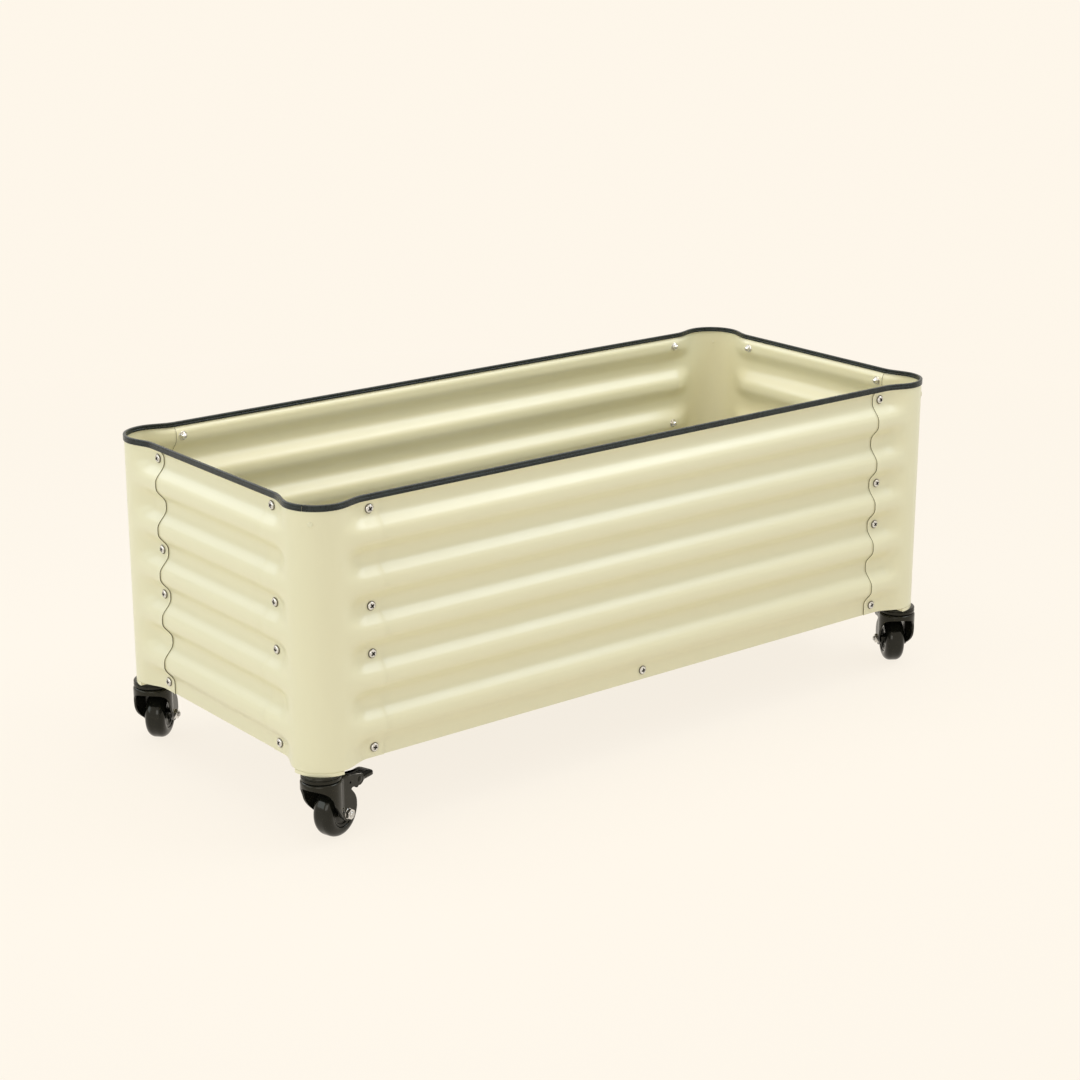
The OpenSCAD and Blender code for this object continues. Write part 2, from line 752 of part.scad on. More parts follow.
module axle_nut(nut_side) {
    color(silver)
    mirror([0, nut_side > 0 ? 1 : 0, 0])
        difference() {
            across([trail, wheel_r], -leg_out - axle_nut_h, -leg_out, axle_af / 2 / cos(30), 6);
            across([trail, wheel_r], -leg_out - axle_nut_h - cut, -leg_out + cut, axle_d / 2 + slip);
        }
}

// Hub: a dished disc with a boss that reaches the legs
module wheel_hub() {
    hub_r = hub_d / 2;
    boss_r = axle_d / 2 + 4;
    disc_half = tyre_w / 2 - 1.5;
    dish_t = disc_half - 3;
    dish_r = hub_r - 5;
    rim_r = hub_r - 3;
    side = [[boss_r, hub_half], [boss_r, dish_t], [dish_r, dish_t], [rim_r, disc_half], [hub_r, disc_half]];
    color(tyre_black)
    translate([trail, 0, wheel_r])
        rotate([90, 0, 0])
            difference() {
                rotate_extrude()
                    polygon(concat(
                        [[0, -hub_half]],
                        [for (p = side) [p[0], -p[1]]],
                        reversed(side),
                        [[0, hub_half]]));
                translate([0, 0, -hub_half - cut])
                    cylinder(h = 2 * hub_half + 2 * cut, r = axle_d / 2 + slip);
            }
}

module tyre() {
    half = tyre_w / 2;
    round_r = min(tyre_round, half - 1, wheel_r - hub_d / 2 - 1);
    color(tyre_black)
    translate([trail, 0, wheel_r])
        rotate([90, 0, 0])
            rotate_extrude($fn = 64)
                polygon(concat(
                    [[hub_d / 2, -half]],
                    arc_points([wheel_r - round_r, round_r - half], round_r, -90, 0, 6),
                    arc_points([wheel_r - round_r, half - round_r], round_r, 0, 90, 6),
                    [[hub_d / 2, half]]));
}

// Plan of the pedal: wide between the fork's ears, narrow at the tip
module pedal_plan(shrink) {
    wide = leg_in - 1 - shrink;
    slim = pedal_w / 2 - shrink;
    tip = pedal_reach - shrink;
    tip_r = 6;
    polygon(concat(
        [[ear[0] - 2, -wide], [ear[0] + 11, -wide], [ear[0] + 20, -slim]],
        arc_points([tip - tip_r, tip_r - slim], tip_r, -90, 0, 4),
        arc_points([tip - tip_r, slim - tip_r], tip_r, 0, 90, 4),
        [[ear[0] + 20, slim], [ear[0] + 11, wide], [ear[0] - 2, wide]]));
}

// Side view of a pedal cheek round the pin, with the brake cam below it. The tyre lies at the lower left
to_axle = [trail, wheel_r] - ear;
cam_reach = norm(to_axle) - wheel_r - touch_gap;
cam_r = 4;
cam_turn = 25;                                      // from the line to the axle, back towards the tip
cam_angle = atan2(to_axle[1], to_axle[0]) + cam_turn;
cam = ear + (cam_reach - cam_r) * [cos(cam_angle), sin(cam_angle)];
cheek_r = 6.5;                                      // about the pin
plate_z = ear[1] - 4;                               // top of the foot plate
flange_drop = 6;

module pedal_cheek() {
    polygon(concat(
        arc_points(ear, cheek_r, 20, 190, 10),
        arc_points(cam, cam_r, 190, 330, 7),
        [[ear[0] + 6, plate_z - flange_drop], [ear[0] + 13, plate_z - flange_drop], [ear[0] + 13, plate_z]]));
}

module brake_pedal() {
    cheek_out = leg_in - 1;
    color(fork_black)
    difference() {
        union() {
            translate([0, 0, plate_z - pedal_t]) linear_extrude(pedal_t) intersection() {
                pedal_plan(0);
                translate([ear[0] + 5, -fork_w]) square([pedal_reach, 2 * fork_w]);
            }
            translate([0, 0, plate_z - flange_drop]) linear_extrude(flange_drop) intersection() {
                difference() {
                    pedal_plan(0);
                    pedal_plan(pedal_t);
                }
                translate([ear[0] + 7, -fork_w]) square([pedal_reach, 2 * fork_w]);
            }
            for (n = [-cheek_out, cheek_out - pedal_t])
                translate([0, n + pedal_t, 0])
                    rotate([90, 0, 0])
                        linear_extrude(pedal_t)
                            pedal_cheek();
            across(cam, -cheek_out, cheek_out, cam_r - 0.5);
        }
        across(ear, -fork_w, fork_w, pin_d / 2 + slip);
    }
}

// Pin with a riveted head on each side
module pedal_pin() {
    head_t = 1.5;
    head_r = pin_d / 2 + 1.8;
    color(fork_black) {
        across(ear, -leg_out, leg_out, pin_d / 2);
        across(ear, leg_out, leg_out + head_t, head_r);
        across(ear, -leg_out - head_t, -leg_out, head_r);
    }
}

// ---- Nodes ----

FL = CORNERS[0];
BL = CORNERS[1];
FR = CORNERS[2];
BR = CORNERS[3];

long_panel(-1);  // front_panel
long_panel(1);  // back_panel
short_panel(-1);  // left_panel
short_panel(1);  // right_panel
corner_panel(FL);  // corner_panel_front_left
corner_panel(BL);  // corner_panel_back_left
corner_panel(FR);  // corner_panel_front_right
corner_panel(BR);  // corner_panel_back_right
rim_trim();
corner_plugs();
panel_bolts();
panel_washers();
panel_nuts();
corner_bracket(FL);  // corner_bracket_front_left
corner_bracket(BL);  // corner_bracket_back_left
corner_bracket(FR);  // corner_bracket_front_right
corner_bracket(BR);  // corner_bracket_back_right
long_rail(-1);  // front_base_rail
long_rail(1);  // back_base_rail
short_rail(-1);  // left_base_rail
short_rail(1);  // right_base_rail
centre_crossbar();
base_tray(-1);  // left_base_tray
base_tray(1);  // right_base_tray
stem_nuts();
race_balls();

caster(FL, yaw_front_left) swivel_head();  // swivel_head_front_left
caster(FL, yaw_front_left) fork();  // fork_front_left
caster(FL, yaw_front_left) axle_bolt(-1);  // axle_bolt_front_left
caster(FL, yaw_front_left) axle_nut(-1);  // axle_nut_front_left
caster(FL, yaw_front_left) wheel_hub();  // wheel_hub_front_left
caster(FL, yaw_front_left) tyre();  // tyre_front_left
caster(FL, yaw_front_left) brake_pedal();  // brake_pedal_front_left
caster(FL, yaw_front_left) pedal_pin();  // pedal_pin_front_left

caster(BL, yaw_back_left) swivel_head();  // swivel_head_back_left
caster(BL, yaw_back_left) fork();  // fork_back_left
caster(BL, yaw_back_left) axle_bolt(-1);  // axle_bolt_back_left
caster(BL, yaw_back_left) axle_nut(-1);  // axle_nut_back_left
caster(BL, yaw_back_left) wheel_hub();  // wheel_hub_back_left
caster(BL, yaw_back_left) tyre();  // tyre_back_left
caster(BL, yaw_back_left) brake_pedal();  // brake_pedal_back_left
caster(BL, yaw_back_left) pedal_pin();  // pedal_pin_back_left

caster(FR, yaw_front_right) swivel_head();  // swivel_head_front_right
caster(FR, yaw_front_right) fork();  // fork_front_right
caster(FR, yaw_front_right) axle_bolt(1);  // axle_bolt_front_right
caster(FR, yaw_front_right) axle_nut(1);  // axle_nut_front_right
caster(FR, yaw_front_right) wheel_hub();  // wheel_hub_front_right
caster(FR, yaw_front_right) tyre();  // tyre_front_right
caster(FR, yaw_front_right) brake_pedal();  // brake_pedal_front_right
caster(FR, yaw_front_right) pedal_pin();  // pedal_pin_front_right

caster(BR, yaw_back_right) swivel_head();  // swivel_head_back_right
caster(BR, yaw_back_right) fork();  // fork_back_right
caster(BR, yaw_back_right) axle_bolt(1);  // axle_bolt_back_right
caster(BR, yaw_back_right) axle_nut(1);  // axle_nut_back_right
caster(BR, yaw_back_right) wheel_hub();  // wheel_hub_back_right
caster(BR, yaw_back_right) tyre();  // tyre_back_right
caster(BR, yaw_back_right) brake_pedal();  // brake_pedal_back_right
caster(BR, yaw_back_right) pedal_pin();  // pedal_pin_back_right
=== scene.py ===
"""Looks of the rolling planter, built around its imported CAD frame.

Sizes are in millimetres in the CAD's own frame: X runs along the long walls, Y across and Z up, and the
origin is on the floor under the middle of the tub. Meshes are turned into metres as they are made.
"""

import json
import logging
import math
from dataclasses import dataclass, field
from enum import Enum

import bmesh
import bpy
import numpy as np
from mathutils import Matrix, Vector
from mathutils.geometry import delaunay_2d_cdt


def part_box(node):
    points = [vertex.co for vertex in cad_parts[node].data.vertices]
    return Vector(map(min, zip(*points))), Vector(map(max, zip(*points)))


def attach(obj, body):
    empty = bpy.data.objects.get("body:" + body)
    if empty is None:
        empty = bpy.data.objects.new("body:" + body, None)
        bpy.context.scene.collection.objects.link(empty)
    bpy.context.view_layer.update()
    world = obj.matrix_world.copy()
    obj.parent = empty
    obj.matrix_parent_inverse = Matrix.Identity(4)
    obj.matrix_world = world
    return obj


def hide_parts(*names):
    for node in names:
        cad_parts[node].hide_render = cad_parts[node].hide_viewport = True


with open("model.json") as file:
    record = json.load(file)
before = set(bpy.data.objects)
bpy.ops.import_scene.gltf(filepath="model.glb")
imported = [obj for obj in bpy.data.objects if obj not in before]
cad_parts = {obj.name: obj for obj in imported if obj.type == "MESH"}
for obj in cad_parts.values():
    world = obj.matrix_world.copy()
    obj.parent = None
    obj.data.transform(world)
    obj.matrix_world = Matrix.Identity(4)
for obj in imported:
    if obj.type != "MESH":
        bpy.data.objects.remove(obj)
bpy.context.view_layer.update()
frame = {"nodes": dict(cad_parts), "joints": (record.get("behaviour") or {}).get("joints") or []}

LOG = logging.getLogger("rolling_planter")
MM = 0.001

# In millimetres: how near doubles lie, how much wider a bore's radius is than what goes through it, and
# how near a face's middle lies to the cut edge that it belongs to.
MERGE_MM = 0.002
CLEARANCE = 0.06
EDGE_TOLERANCE = 0.05

Array = np.ndarray
Colour = tuple[float, float, float, float]
Triple = tuple[float, float, float]

# What these four make of a drawn point (x, y, z): (x, z, y), (z, x, y), (x, z, -y) and (x, -y, -z).
STOOD = np.array([[1, 0, 0], [0, 0, 1], [0, 1, 0]])
STOOD_ALONG_Y = np.array([[0, 0, 1], [1, 0, 0], [0, 1, 0]])
LAID = np.array([[1, 0, 0], [0, 0, 1], [0, -1, 0]])
UPSIDE_DOWN = np.diag([1.0, -1.0, -1.0])

# What a point (a, b) of a line is multiplied by to become (a, -b).
MIRROR = np.array([1.0, -1.0])


# --------------------------------------------------------------------------------------------------
# Shapes
# --------------------------------------------------------------------------------------------------


@dataclass
class Shape:
    """Points in millimetres and the faces between them."""

    points: Array
    faces: list[list[int]]

    def moved(self, turn: Array, shift: Array) -> "Shape":
        """The shape turned by a 3x3 matrix and then shifted.

        Args:
            turn: Matrix that a column point is multiplied by.
            shift: What is added to each point afterwards.

        Returns:
            The new shape, with the same faces.
        """
        return Shape(self.points @ np.asarray(turn, float).T + np.asarray(shift, float), self.faces)

    def lifted(self, height: float) -> "Shape":
        """The shape moved along Z by a height."""
        return self.moved(np.eye(3), np.array([0.0, 0.0, height]))


def joined(shapes: list[Shape]) -> Shape:
    """All the shapes as one, with their faces renumbered.

    Args:
        shapes: Shapes that stay apart within the result.

    Returns:
        One shape.
    """
    faces: list[list[int]] = []
    count = 0
    for shape in shapes:
        faces.extend([[i + count for i in face] for face in shape.faces])
        count += len(shape.points)
    return Shape(np.concatenate([shape.points for shape in shapes]), faces)


def grid_shape(points: Array, closed_rows: bool = False, closed_columns: bool = False) -> Shape:
    """Quads between the neighbours of a grid of points.

    Args:
        points: Array of rows x columns x 3.
        closed_rows: Whether the last row joins the first.
        closed_columns: Whether the last column joins the first.

    Returns:
        The shape, with its points row by row.
    """
    rows, columns = points.shape[:2]
    i = np.arange(rows if closed_rows else rows - 1)[:, None]
    j = np.arange(columns if closed_columns else columns - 1)[None, :]
    i_next, j_next = (i + 1) % rows, (j + 1) % columns
    quads = np.stack(
        [i * columns + j, i * columns + j_next, i_next * columns + j_next, i_next * columns + j], axis=-1)
    return Shape(points.reshape(-1, 3), quads.reshape(-1, 4).tolist())


def ease(share: Array) -> Array:
    """Smooth step: 0 below 0, 1 above 1, and 3t^2 - 2t^3 between them."""
    t = np.clip(share, 0.0, 1.0)
    return t * t * (3.0 - 2.0 * t)


def bow(start: Array, pull: Array, end: Array, steps: int) -> Array:
    """Points of a quadratic curve: (1 - t)^2 start + 2t(1 - t) pull + t^2 end."""
    t = np.linspace(0.0, 1.0, steps + 1)[:, None]
    return (1 - t) ** 2 * np.asarray(start) + 2 * t * (1 - t) * np.asarray(pull) + t ** 2 * np.asarray(end)


def filleted(corners: list[Triple], steps: int, closed: bool = False) -> Array:
    """Polyline whose corners are rounded.

    Each corner (x, y, radius) becomes a quadratic curve that starts and ends one radius from the
    corner, or nearer where its neighbours are close.

    Args:
        corners: Corners in order, each with its rounding.
        steps: Segments in each rounded corner.
        closed: Whether the last corner joins the first.

    Returns:
        Array of points x 2. A closed line doesn't repeat its first point.
    """
    line = np.array(corners, float)
    parts = []
    for k, (x, y, radius) in enumerate(line):
        here = np.array([x, y])
        at_end = not closed and k in (0, len(line) - 1)
        if at_end or radius <= 0:
            parts.append(here[None])
            continue
        before = line[k - 1, :2] - here
        after = line[(k + 1) % len(line), :2] - here
        reach = min(radius, np.linalg.norm(before) / 2, np.linalg.norm(after) / 2)
        start = here + before / np.linalg.norm(before) * reach
        end = here + after / np.linalg.norm(after) * reach
        parts.append(bow(start, here, end, steps))
    return np.concatenate(parts)


def arc(centre: tuple[float, float], radius: float, start: float, end: float, steps: int) -> Array:
    """Points on a circle: centre + radius (cos a, sin a), with a from start to end in degrees."""
    angle = np.radians(np.linspace(start, end, steps + 1))
    return np.array(centre) + radius * np.stack([np.cos(angle), np.sin(angle)], axis=-1)


def looped(line: Array) -> Array:
    """Closed line with its first point once more at its end."""
    return np.concatenate([line, line[:1]])


def mirrored(half_line: Array) -> Array:
    """Half a line and then its mirror image, back along it, without repeating the point between them."""
    return np.concatenate([half_line, half_line[::-1][1:] * MIRROR])


def spun(radius: Array, height: Array, angle: Array) -> Array:
    """Rows of points round +Z: (radius cos a, radius sin a, height).

    Args:
        radius: Array of rows x 1, or of rows x angles.
        height: Height of each row.
        angle: Directions round the axis.

    Returns:
        Array of rows x angles x 3.
    """
    radius = np.broadcast_to(radius, (len(height), angle.size))
    rise = np.broadcast_to(height[:, None], radius.shape)
    return np.stack([radius * np.cos(angle), radius * np.sin(angle), rise], axis=-1)


def directions(sides: int) -> Array:
    """Angles round an axis, evenly spaced from 0."""
    return np.linspace(0.0, 2 * np.pi, sides, endpoint=False)


def turned(profile: Array, sides: int) -> Shape:
    """Surface of revolution: the profile (radius, height) carried round +Z.

    Args:
        profile: Points from the axis back to the axis, or a closed line with its first point repeated.
        sides: Steps round the axis.

    Returns:
        A closed shape once its doubles are merged.
    """
    points = spun(profile[:, :1], profile[:, 1], directions(sides))
    return grid_shape(points, closed_columns=True)


def stacked(levels: list[tuple[Array, float]]) -> Shape:
    """Closed outlines in X and Y at rising heights, joined one to the next, with a flat face on each end.

    Args:
        levels: Outlines with as many points each, and their heights.

    Returns:
        A closed shape.
    """
    count = len(levels[0][0])
    rings = [np.column_stack([outline, np.full(count, z)]) for outline, z in levels]
    sides = grid_shape(np.stack(rings), closed_columns=True)
    last = (len(levels) - 1) * count
    caps = [list(range(count))[::-1], list(range(last, last + count))]
    return Shape(sides.points, sides.faces + caps)


def prism(outline: Array, low: float, high: float) -> Shape:
    """Closed outline in X and Y carried from one height to another, with a flat face on each end."""
    return stacked([(outline, low), (outline, high)])


def thread_rings(radii: tuple[float, float], low: float, high: float, pitch: float, gap: float) -> Array:
    """Profile of the turned rings that stand for a thread, with two radii by turns.

    Args:
        radii: Radius at the start of a ring, and radius a gap above it.
        low: Height of the first ring.
        high: Height that every ring starts under.
        pitch: Distance from ring to ring.
        gap: Height of a ring's second point over its first.

    Returns:
        Array of (radius, height).
    """
    turns = np.arange(low, high, pitch)
    rise = np.repeat(turns, 2) + np.tile([0.0, gap], turns.size)
    return np.column_stack([np.tile(radii, turns.size), rise])


def hexagon_radii(angle: Array, across_flats: float, depth: Array, top_share: float) -> Array:
    """Radii of a hexagon whose corners are turned down to a cone at 30 degrees.

    The hexagon's own radius is half its width over cos of the angle from the nearest flat. The cone's
    radius grows from its share of the width by depth / tan 30. The smaller of the two counts.

    Args:
        angle: Directions round the axis.
        across_flats: Width over two flats.
        depth: Distances from the end face.
        top_share: The cone's radius at the end face, over the width.

    Returns:
        Array of depths x angles.
    """
    from_flat = (angle + np.pi / 6) % (np.pi / 3) - np.pi / 6
    flat = across_flats / 2 / np.cos(from_flat)
    cone = across_flats * top_share + depth / math.tan(math.radians(30))
    return np.minimum(flat[None, :], cone[:, None])


def hexagon_block(across_flats: float, height: float, bore: float, both_ends: bool = False) -> Shape:
    """Hexagonal head or nut with its corners turned down, and with the edge of its bore broken.

    Args:
        across_flats: Width over two flats.
        height: Height along +Z, from 0.
        bore: Radius of the hole, or 0 for none.
        both_ends: Whether the lower end is turned down too.

    Returns:
        A closed shape.
    """
    angle = directions(72)
    level = np.concatenate([np.linspace(0.0, 0.3, 5), np.linspace(0.7, 1.0, 5)]) * height
    depth = np.minimum(height - level, level) if both_ends else height - level
    radius = hexagon_radii(angle, across_flats, depth, 0.48)
    chamfer = 0.45 if bore > 0 else 0.0
    inside = np.array([[bore, 0.0], [bore + chamfer, height], [bore, height - chamfer]])
    ends = np.broadcast_to(inside[:, :1], (3, angle.size))
    rings = np.concatenate([ends[:1], radius, ends[1:]])
    heights = np.concatenate([inside[:1, 1], level, inside[1:, 1]])
    return grid_shape(spun(rings, heights, angle), closed_rows=bore > 0, closed_columns=True)


def axes_to(normal: Array, spin: float = 0.0) -> Array:
    """Rotation whose third column is the normal, turned about it.

    Args:
        normal: Direction that +Z goes to.
        spin: Turn about the normal, in radians.

    Returns:
        A 3x3 rotation.
    """
    z = np.asarray(normal, float) / np.linalg.norm(normal)
    upright = abs(z[2]) > 0.9
    guide = np.array([1.0, 0.0, 0.0]) if upright else np.array([0.0, 0.0, 1.0])
    x = np.cross(guide, z)
    x /= np.linalg.norm(x)
    y = np.cross(z, x)
    cos, sin = math.cos(spin), math.sin(spin)
    return np.stack([x * cos + y * sin, y * cos - x * sin, z], axis=-1)


# --------------------------------------------------------------------------------------------------
# Finishes
# --------------------------------------------------------------------------------------------------


class Shader:
    """A material's node tree, with short ways to add the nodes that the finishes share."""

    def __init__(self, name: str) -> None:
        """Starts a material.

        Args:
            name: The material's name.
        """
        self.material = bpy.data.materials.new(name)
        self.material.use_nodes = True
        self.tree = self.material.node_tree
        self.surface = self.tree.nodes["Principled BSDF"]
        self.place = self.tree.nodes.new("ShaderNodeTexCoord").outputs["Object"]

    def set(self, **values: float | Colour) -> None:
        """Sets sockets of the surface, named with underscores for spaces."""
        for name, value in values.items():
            self.surface.inputs[name.replace("_", " ")].default_value = value

    def link(self, socket: bpy.types.NodeSocket, name: str) -> None:
        """Links a socket to an input of the surface."""
        self.tree.links.new(socket, self.surface.inputs[name])

    def stretched(self, x: float, y: float, z: float) -> bpy.types.NodeSocket:
        """Object coordinates, each scaled by its own factor.

        Args:
            x: Factor along X.
            y: Factor along Y.
            z: Factor along Z.

        Returns:
            The coordinates' socket.
        """
        node = self.tree.nodes.new("ShaderNodeMapping")
        node.inputs["Scale"].default_value = (x, y, z)
        self.tree.links.new(self.place, node.inputs["Vector"])
        return node.outputs["Vector"]

    def noise(self, scale: float, detail: float = 3.0, place: bpy.types.NodeSocket | None = None,
              roughness: float = 0.5) -> bpy.types.NodeSocket:
        """Noise over the object, as a factor.

        Args:
            scale: Cells per metre.
            detail: Octaves.
            place: Coordinates, or None for the object's own.
            roughness: Share that each octave keeps.

        Returns:
            The factor socket.
        """
        node = self.tree.nodes.new("ShaderNodeTexNoise")
        node.inputs["Scale"].default_value = scale
        node.inputs["Detail"].default_value = detail
        node.inputs["Roughness"].default_value = roughness
        self.tree.links.new(place or self.place, node.inputs["Vector"])
        return node.outputs["Fac"]

    def cells(self, scale: float) -> bpy.types.NodeSocket:
        """Voronoi cells over the object, each with a colour of its own.

        Args:
            scale: Cells per metre.

        Returns:
            The colour socket.
        """
        node = self.tree.nodes.new("ShaderNodeTexVoronoi")
        node.inputs["Scale"].default_value = scale
        self.tree.links.new(self.place, node.inputs["Vector"])
        return node.outputs["Color"]

    def ramp(self, source: bpy.types.NodeSocket, stops: list[tuple[float, Colour]]) -> bpy.types.NodeSocket:
        """A factor turned into colours.

        Args:
            source: The factor.
            stops: Places from 0 to 1, each with its colour.

        Returns:
            The colour socket.
        """
        node = self.tree.nodes.new("ShaderNodeValToRGB")
        elements = node.color_ramp.elements
        while len(elements) < len(stops):
            elements.new(0.5)
        for element, (position, colour) in zip(elements, stops):
            element.position = position
            element.color = colour
        self.tree.links.new(source, node.inputs["Fac"])
        return node.outputs["Color"]

    def span(self, source: bpy.types.NodeSocket, low: float, high: float, from_low: float = 0.0,
             from_high: float = 1.0) -> bpy.types.NodeSocket:
        """A factor moved from one span to another, and held there.

        Args:
            source: The factor.
            low: Result at from_low.
            high: Result at from_high.
            from_low: Start of the span that is read.
            from_high: End of it.

        Returns:
            The value socket.
        """
        node = self.tree.nodes.new("ShaderNodeMapRange")
        node.inputs["From Min"].default_value = from_low
        node.inputs["From Max"].default_value = from_high
        node.inputs["To Min"].default_value = low
        node.inputs["To Max"].default_value = high
        self.tree.links.new(source, node.inputs["Value"])
        return node.outputs["Result"]

    def blended(self, share: bpy.types.NodeSocket, first: bpy.types.NodeSocket | Colour,
                second: bpy.types.NodeSocket | Colour) -> bpy.types.NodeSocket:
        """First colour where the share is 0, second where it is 1.

        Args:
            share: The factor.
            first: A colour or a socket.
            second: A colour or a socket.

        Returns:
            The colour socket.
        """
        node = self.tree.nodes.new("ShaderNodeMix")
        node.data_type = "RGBA"
        self.tree.links.new(share, node.inputs["Factor"])
        for name, value in (("A", first), ("B", second)):
            socket = [s for s in node.inputs if s.name == name and s.type == "RGBA"][0]
            if isinstance(value, bpy.types.NodeSocket):
                self.tree.links.new(value, socket)
            else:
                socket.default_value = value
        return [s for s in node.outputs if s.type == "RGBA"][0]

    def bump(self, height: bpy.types.NodeSocket, distance_mm: float, strength: float = 1.0,
             over: bpy.types.NodeSocket | None = None) -> bpy.types.NodeSocket:
        """Normal that follows a height.

        Args:
            height: The factor read as a height.
            distance_mm: Height that a factor of 1 stands for.
            strength: Share of the effect.
            over: A normal that this one is laid over.

        Returns:
            The normal socket.
        """
        node = self.tree.nodes.new("ShaderNodeBump")
        node.inputs["Distance"].default_value = distance_mm * MM
        node.inputs["Strength"].default_value = strength
        self.tree.links.new(height, node.inputs["Height"])
        if over is not None:
            self.tree.links.new(over, node.inputs["Normal"])
        return node.outputs["Normal"]


def shade(colour: Colour, factor: float) -> Colour:
    """The colour made lighter or darker by a factor, with its alpha kept."""
    red, green, blue, alpha = colour
    return (red * factor, green * factor, blue * factor, alpha)


@dataclass(frozen=True)
class PowderCoat:
    """Cream powder coat on steel: fine orange peel, faint cloudiness, and a warmer tone in drifts."""

    name: str = "cream_powder_coat"
    colour: Colour = (0.765, 0.722, 0.486, 1.0)
    warm: Colour = (0.758, 0.710, 0.466, 1.0)
    roughness: float = 0.33

    def build(self) -> bpy.types.Material:
        """Makes the material.

        Returns:
            The material.
        """
        shader = Shader(self.name)
        clouds = shader.noise(2.2, 4.0, shader.stretched(0.6, 0.6, 1.6))
        shader.link(shader.ramp(clouds, [(0.35, self.colour), (0.7, self.warm)]), "Base Color")
        smudges = shader.noise(26.0, 5.0, roughness=0.62)
        smooth, rough = self.roughness - 0.02, self.roughness + 0.03
        shader.link(shader.span(smudges, smooth, rough, 0.3, 0.7), "Roughness")
        peel = shader.noise(700.0, 2.0)
        ripple = shader.noise(40.0, 2.0)
        normal = shader.bump(ripple, 0.03, 0.4)
        shader.link(shader.bump(peel, 0.008, 0.35, normal), "Normal")
        shader.set(IOR=1.62)
        return shader.material


@dataclass(frozen=True)
class ExtrudedRubber:
    """Black rubber strip: dull and slightly green, with drag lines along its length and dust in spots."""

    name: str = "rim_rubber"
    colour: Colour = (0.006, 0.010, 0.009, 1.0)
    dusty: Colour = (0.022, 0.031, 0.027, 1.0)

    def build(self) -> bpy.types.Material:
        """Makes the material.

        Returns:
            The material.
        """
        shader = Shader(self.name)
        dust = shader.noise(60.0, 6.0, roughness=0.7)
        shader.link(shader.ramp(dust, [(0.4, self.colour), (0.8, self.dusty)]), "Base Color")
        shader.link(shader.span(dust, 0.20, 0.36, 0.3, 0.7), "Roughness")
        drag = shader.noise(1.0, 2.0, shader.stretched(6.0, 6.0, 1400.0))
        grain = shader.noise(1300.0, 2.0)
        shader.link(shader.bump(grain, 0.02, 0.4, shader.bump(drag, 0.03, 0.5)), "Normal")
        shader.set(IOR=1.4)
        return shader.material


@dataclass(frozen=True)
class PlatedSteel:
    """Plated steel: a metal with fine scratches, patches of duller plating and small pits.

    colour is the bright plating and dull is where it has weathered. patches, grain and spangle are the
    scales of the dull patches, the scratches and the zinc's crystals, each per metre.
    """

    name: str
    colour: Colour
    dull: Colour
    smoothness: float
    patches: float = 55.0
    grain: float = 700.0
    spangle: float = 0.0

    def build(self) -> bpy.types.Material:
        """Makes the material.

        Returns:
            The material.
        """
        shader = Shader(self.name)
        weather = shader.noise(self.patches, 6.0, roughness=0.65)
        base = shader.ramp(weather, [(0.38, self.colour), (0.72, self.dull)])
        if self.spangle > 0:
            light = shader.span(shader.cells(self.spangle), 0.0, 0.55)
            base = shader.blended(light, base, shade(self.colour, 0.72))
        shader.link(base, "Base Color")
        rough = 1.0 - self.smoothness
        shader.link(shader.span(weather, rough - 0.07, rough + 0.16, 0.3, 0.75), "Roughness")
        scratches = shader.noise(self.grain, 3.0, shader.stretched(1.0, 0.22, 1.0))
        pits = shader.noise(260.0, 2.0)
        shader.link(shader.bump(scratches, 0.012, 0.45, shader.bump(pits, 0.03, 0.35)), "Normal")
        shader.set(Metallic=1.0)
        return shader.material


@dataclass(frozen=True)
class BlackEnamel:
    """Gloss black enamel on pressed steel: soft waves, fine peel, dust in drifts and a warm-toned shine."""

    name: str = "black_enamel"
    colour: Colour = (0.0085, 0.0085, 0.0060, 1.0)
    dusty: Colour = (0.0150, 0.0145, 0.0105, 1.0)

    def build(self) -> bpy.types.Material:
        """Makes the material.

        Returns:
            The material.
        """
        shader = Shader(self.name)
        dust = shader.noise(95.0, 5.0, roughness=0.65)
        shader.link(shader.ramp(dust, [(0.45, self.colour), (0.8, self.dusty)]), "Base Color")
        shader.link(shader.span(dust, 0.13, 0.22, 0.35, 0.75), "Roughness")
        waves = shader.noise(90.0, 2.0)
        peel = shader.noise(1200.0, 2.0)
        shader.link(shader.bump(peel, 0.004, 0.3, shader.bump(waves, 0.04, 0.3)), "Normal")
        shader.set(IOR=1.36, Specular_Tint=(1.0, 0.95, 0.78, 1.0))
        return shader.material


@dataclass(frozen=True)
class MouldedPolymer:
    """Moulded polymer: glossy skin with flow marks, fine scuffs and a little dust.

    scuffed is how far the roughness rises where it has rubbed, and index is its index of refraction.
    """

    name: str
    colour: Colour
    dusty: Colour
    roughness: float
    scuffed: float
    index: float = 1.45
    grain_mm: float = 0.004

    def build(self) -> bpy.types.Material:
        """Makes the material.

        Returns:
            The material.
        """
        shader = Shader(self.name)
        dust = shader.noise(120.0, 6.0, roughness=0.7)
        shader.link(shader.ramp(dust, [(0.45, self.colour), (0.85, self.dusty)]), "Base Color")
        rubbed = self.roughness + self.scuffed
        shader.link(shader.span(dust, self.roughness, rubbed, 0.35, 0.8), "Roughness")
        flow = shader.noise(70.0, 2.0)
        grain = shader.noise(1400.0, 2.0)
        shader.link(shader.bump(grain, self.grain_mm, 0.3, shader.bump(flow, 0.03, 0.3)), "Normal")
        shader.set(IOR=self.index, Specular_Tint=(1.0, 0.97, 0.86, 1.0))
        return shader.material


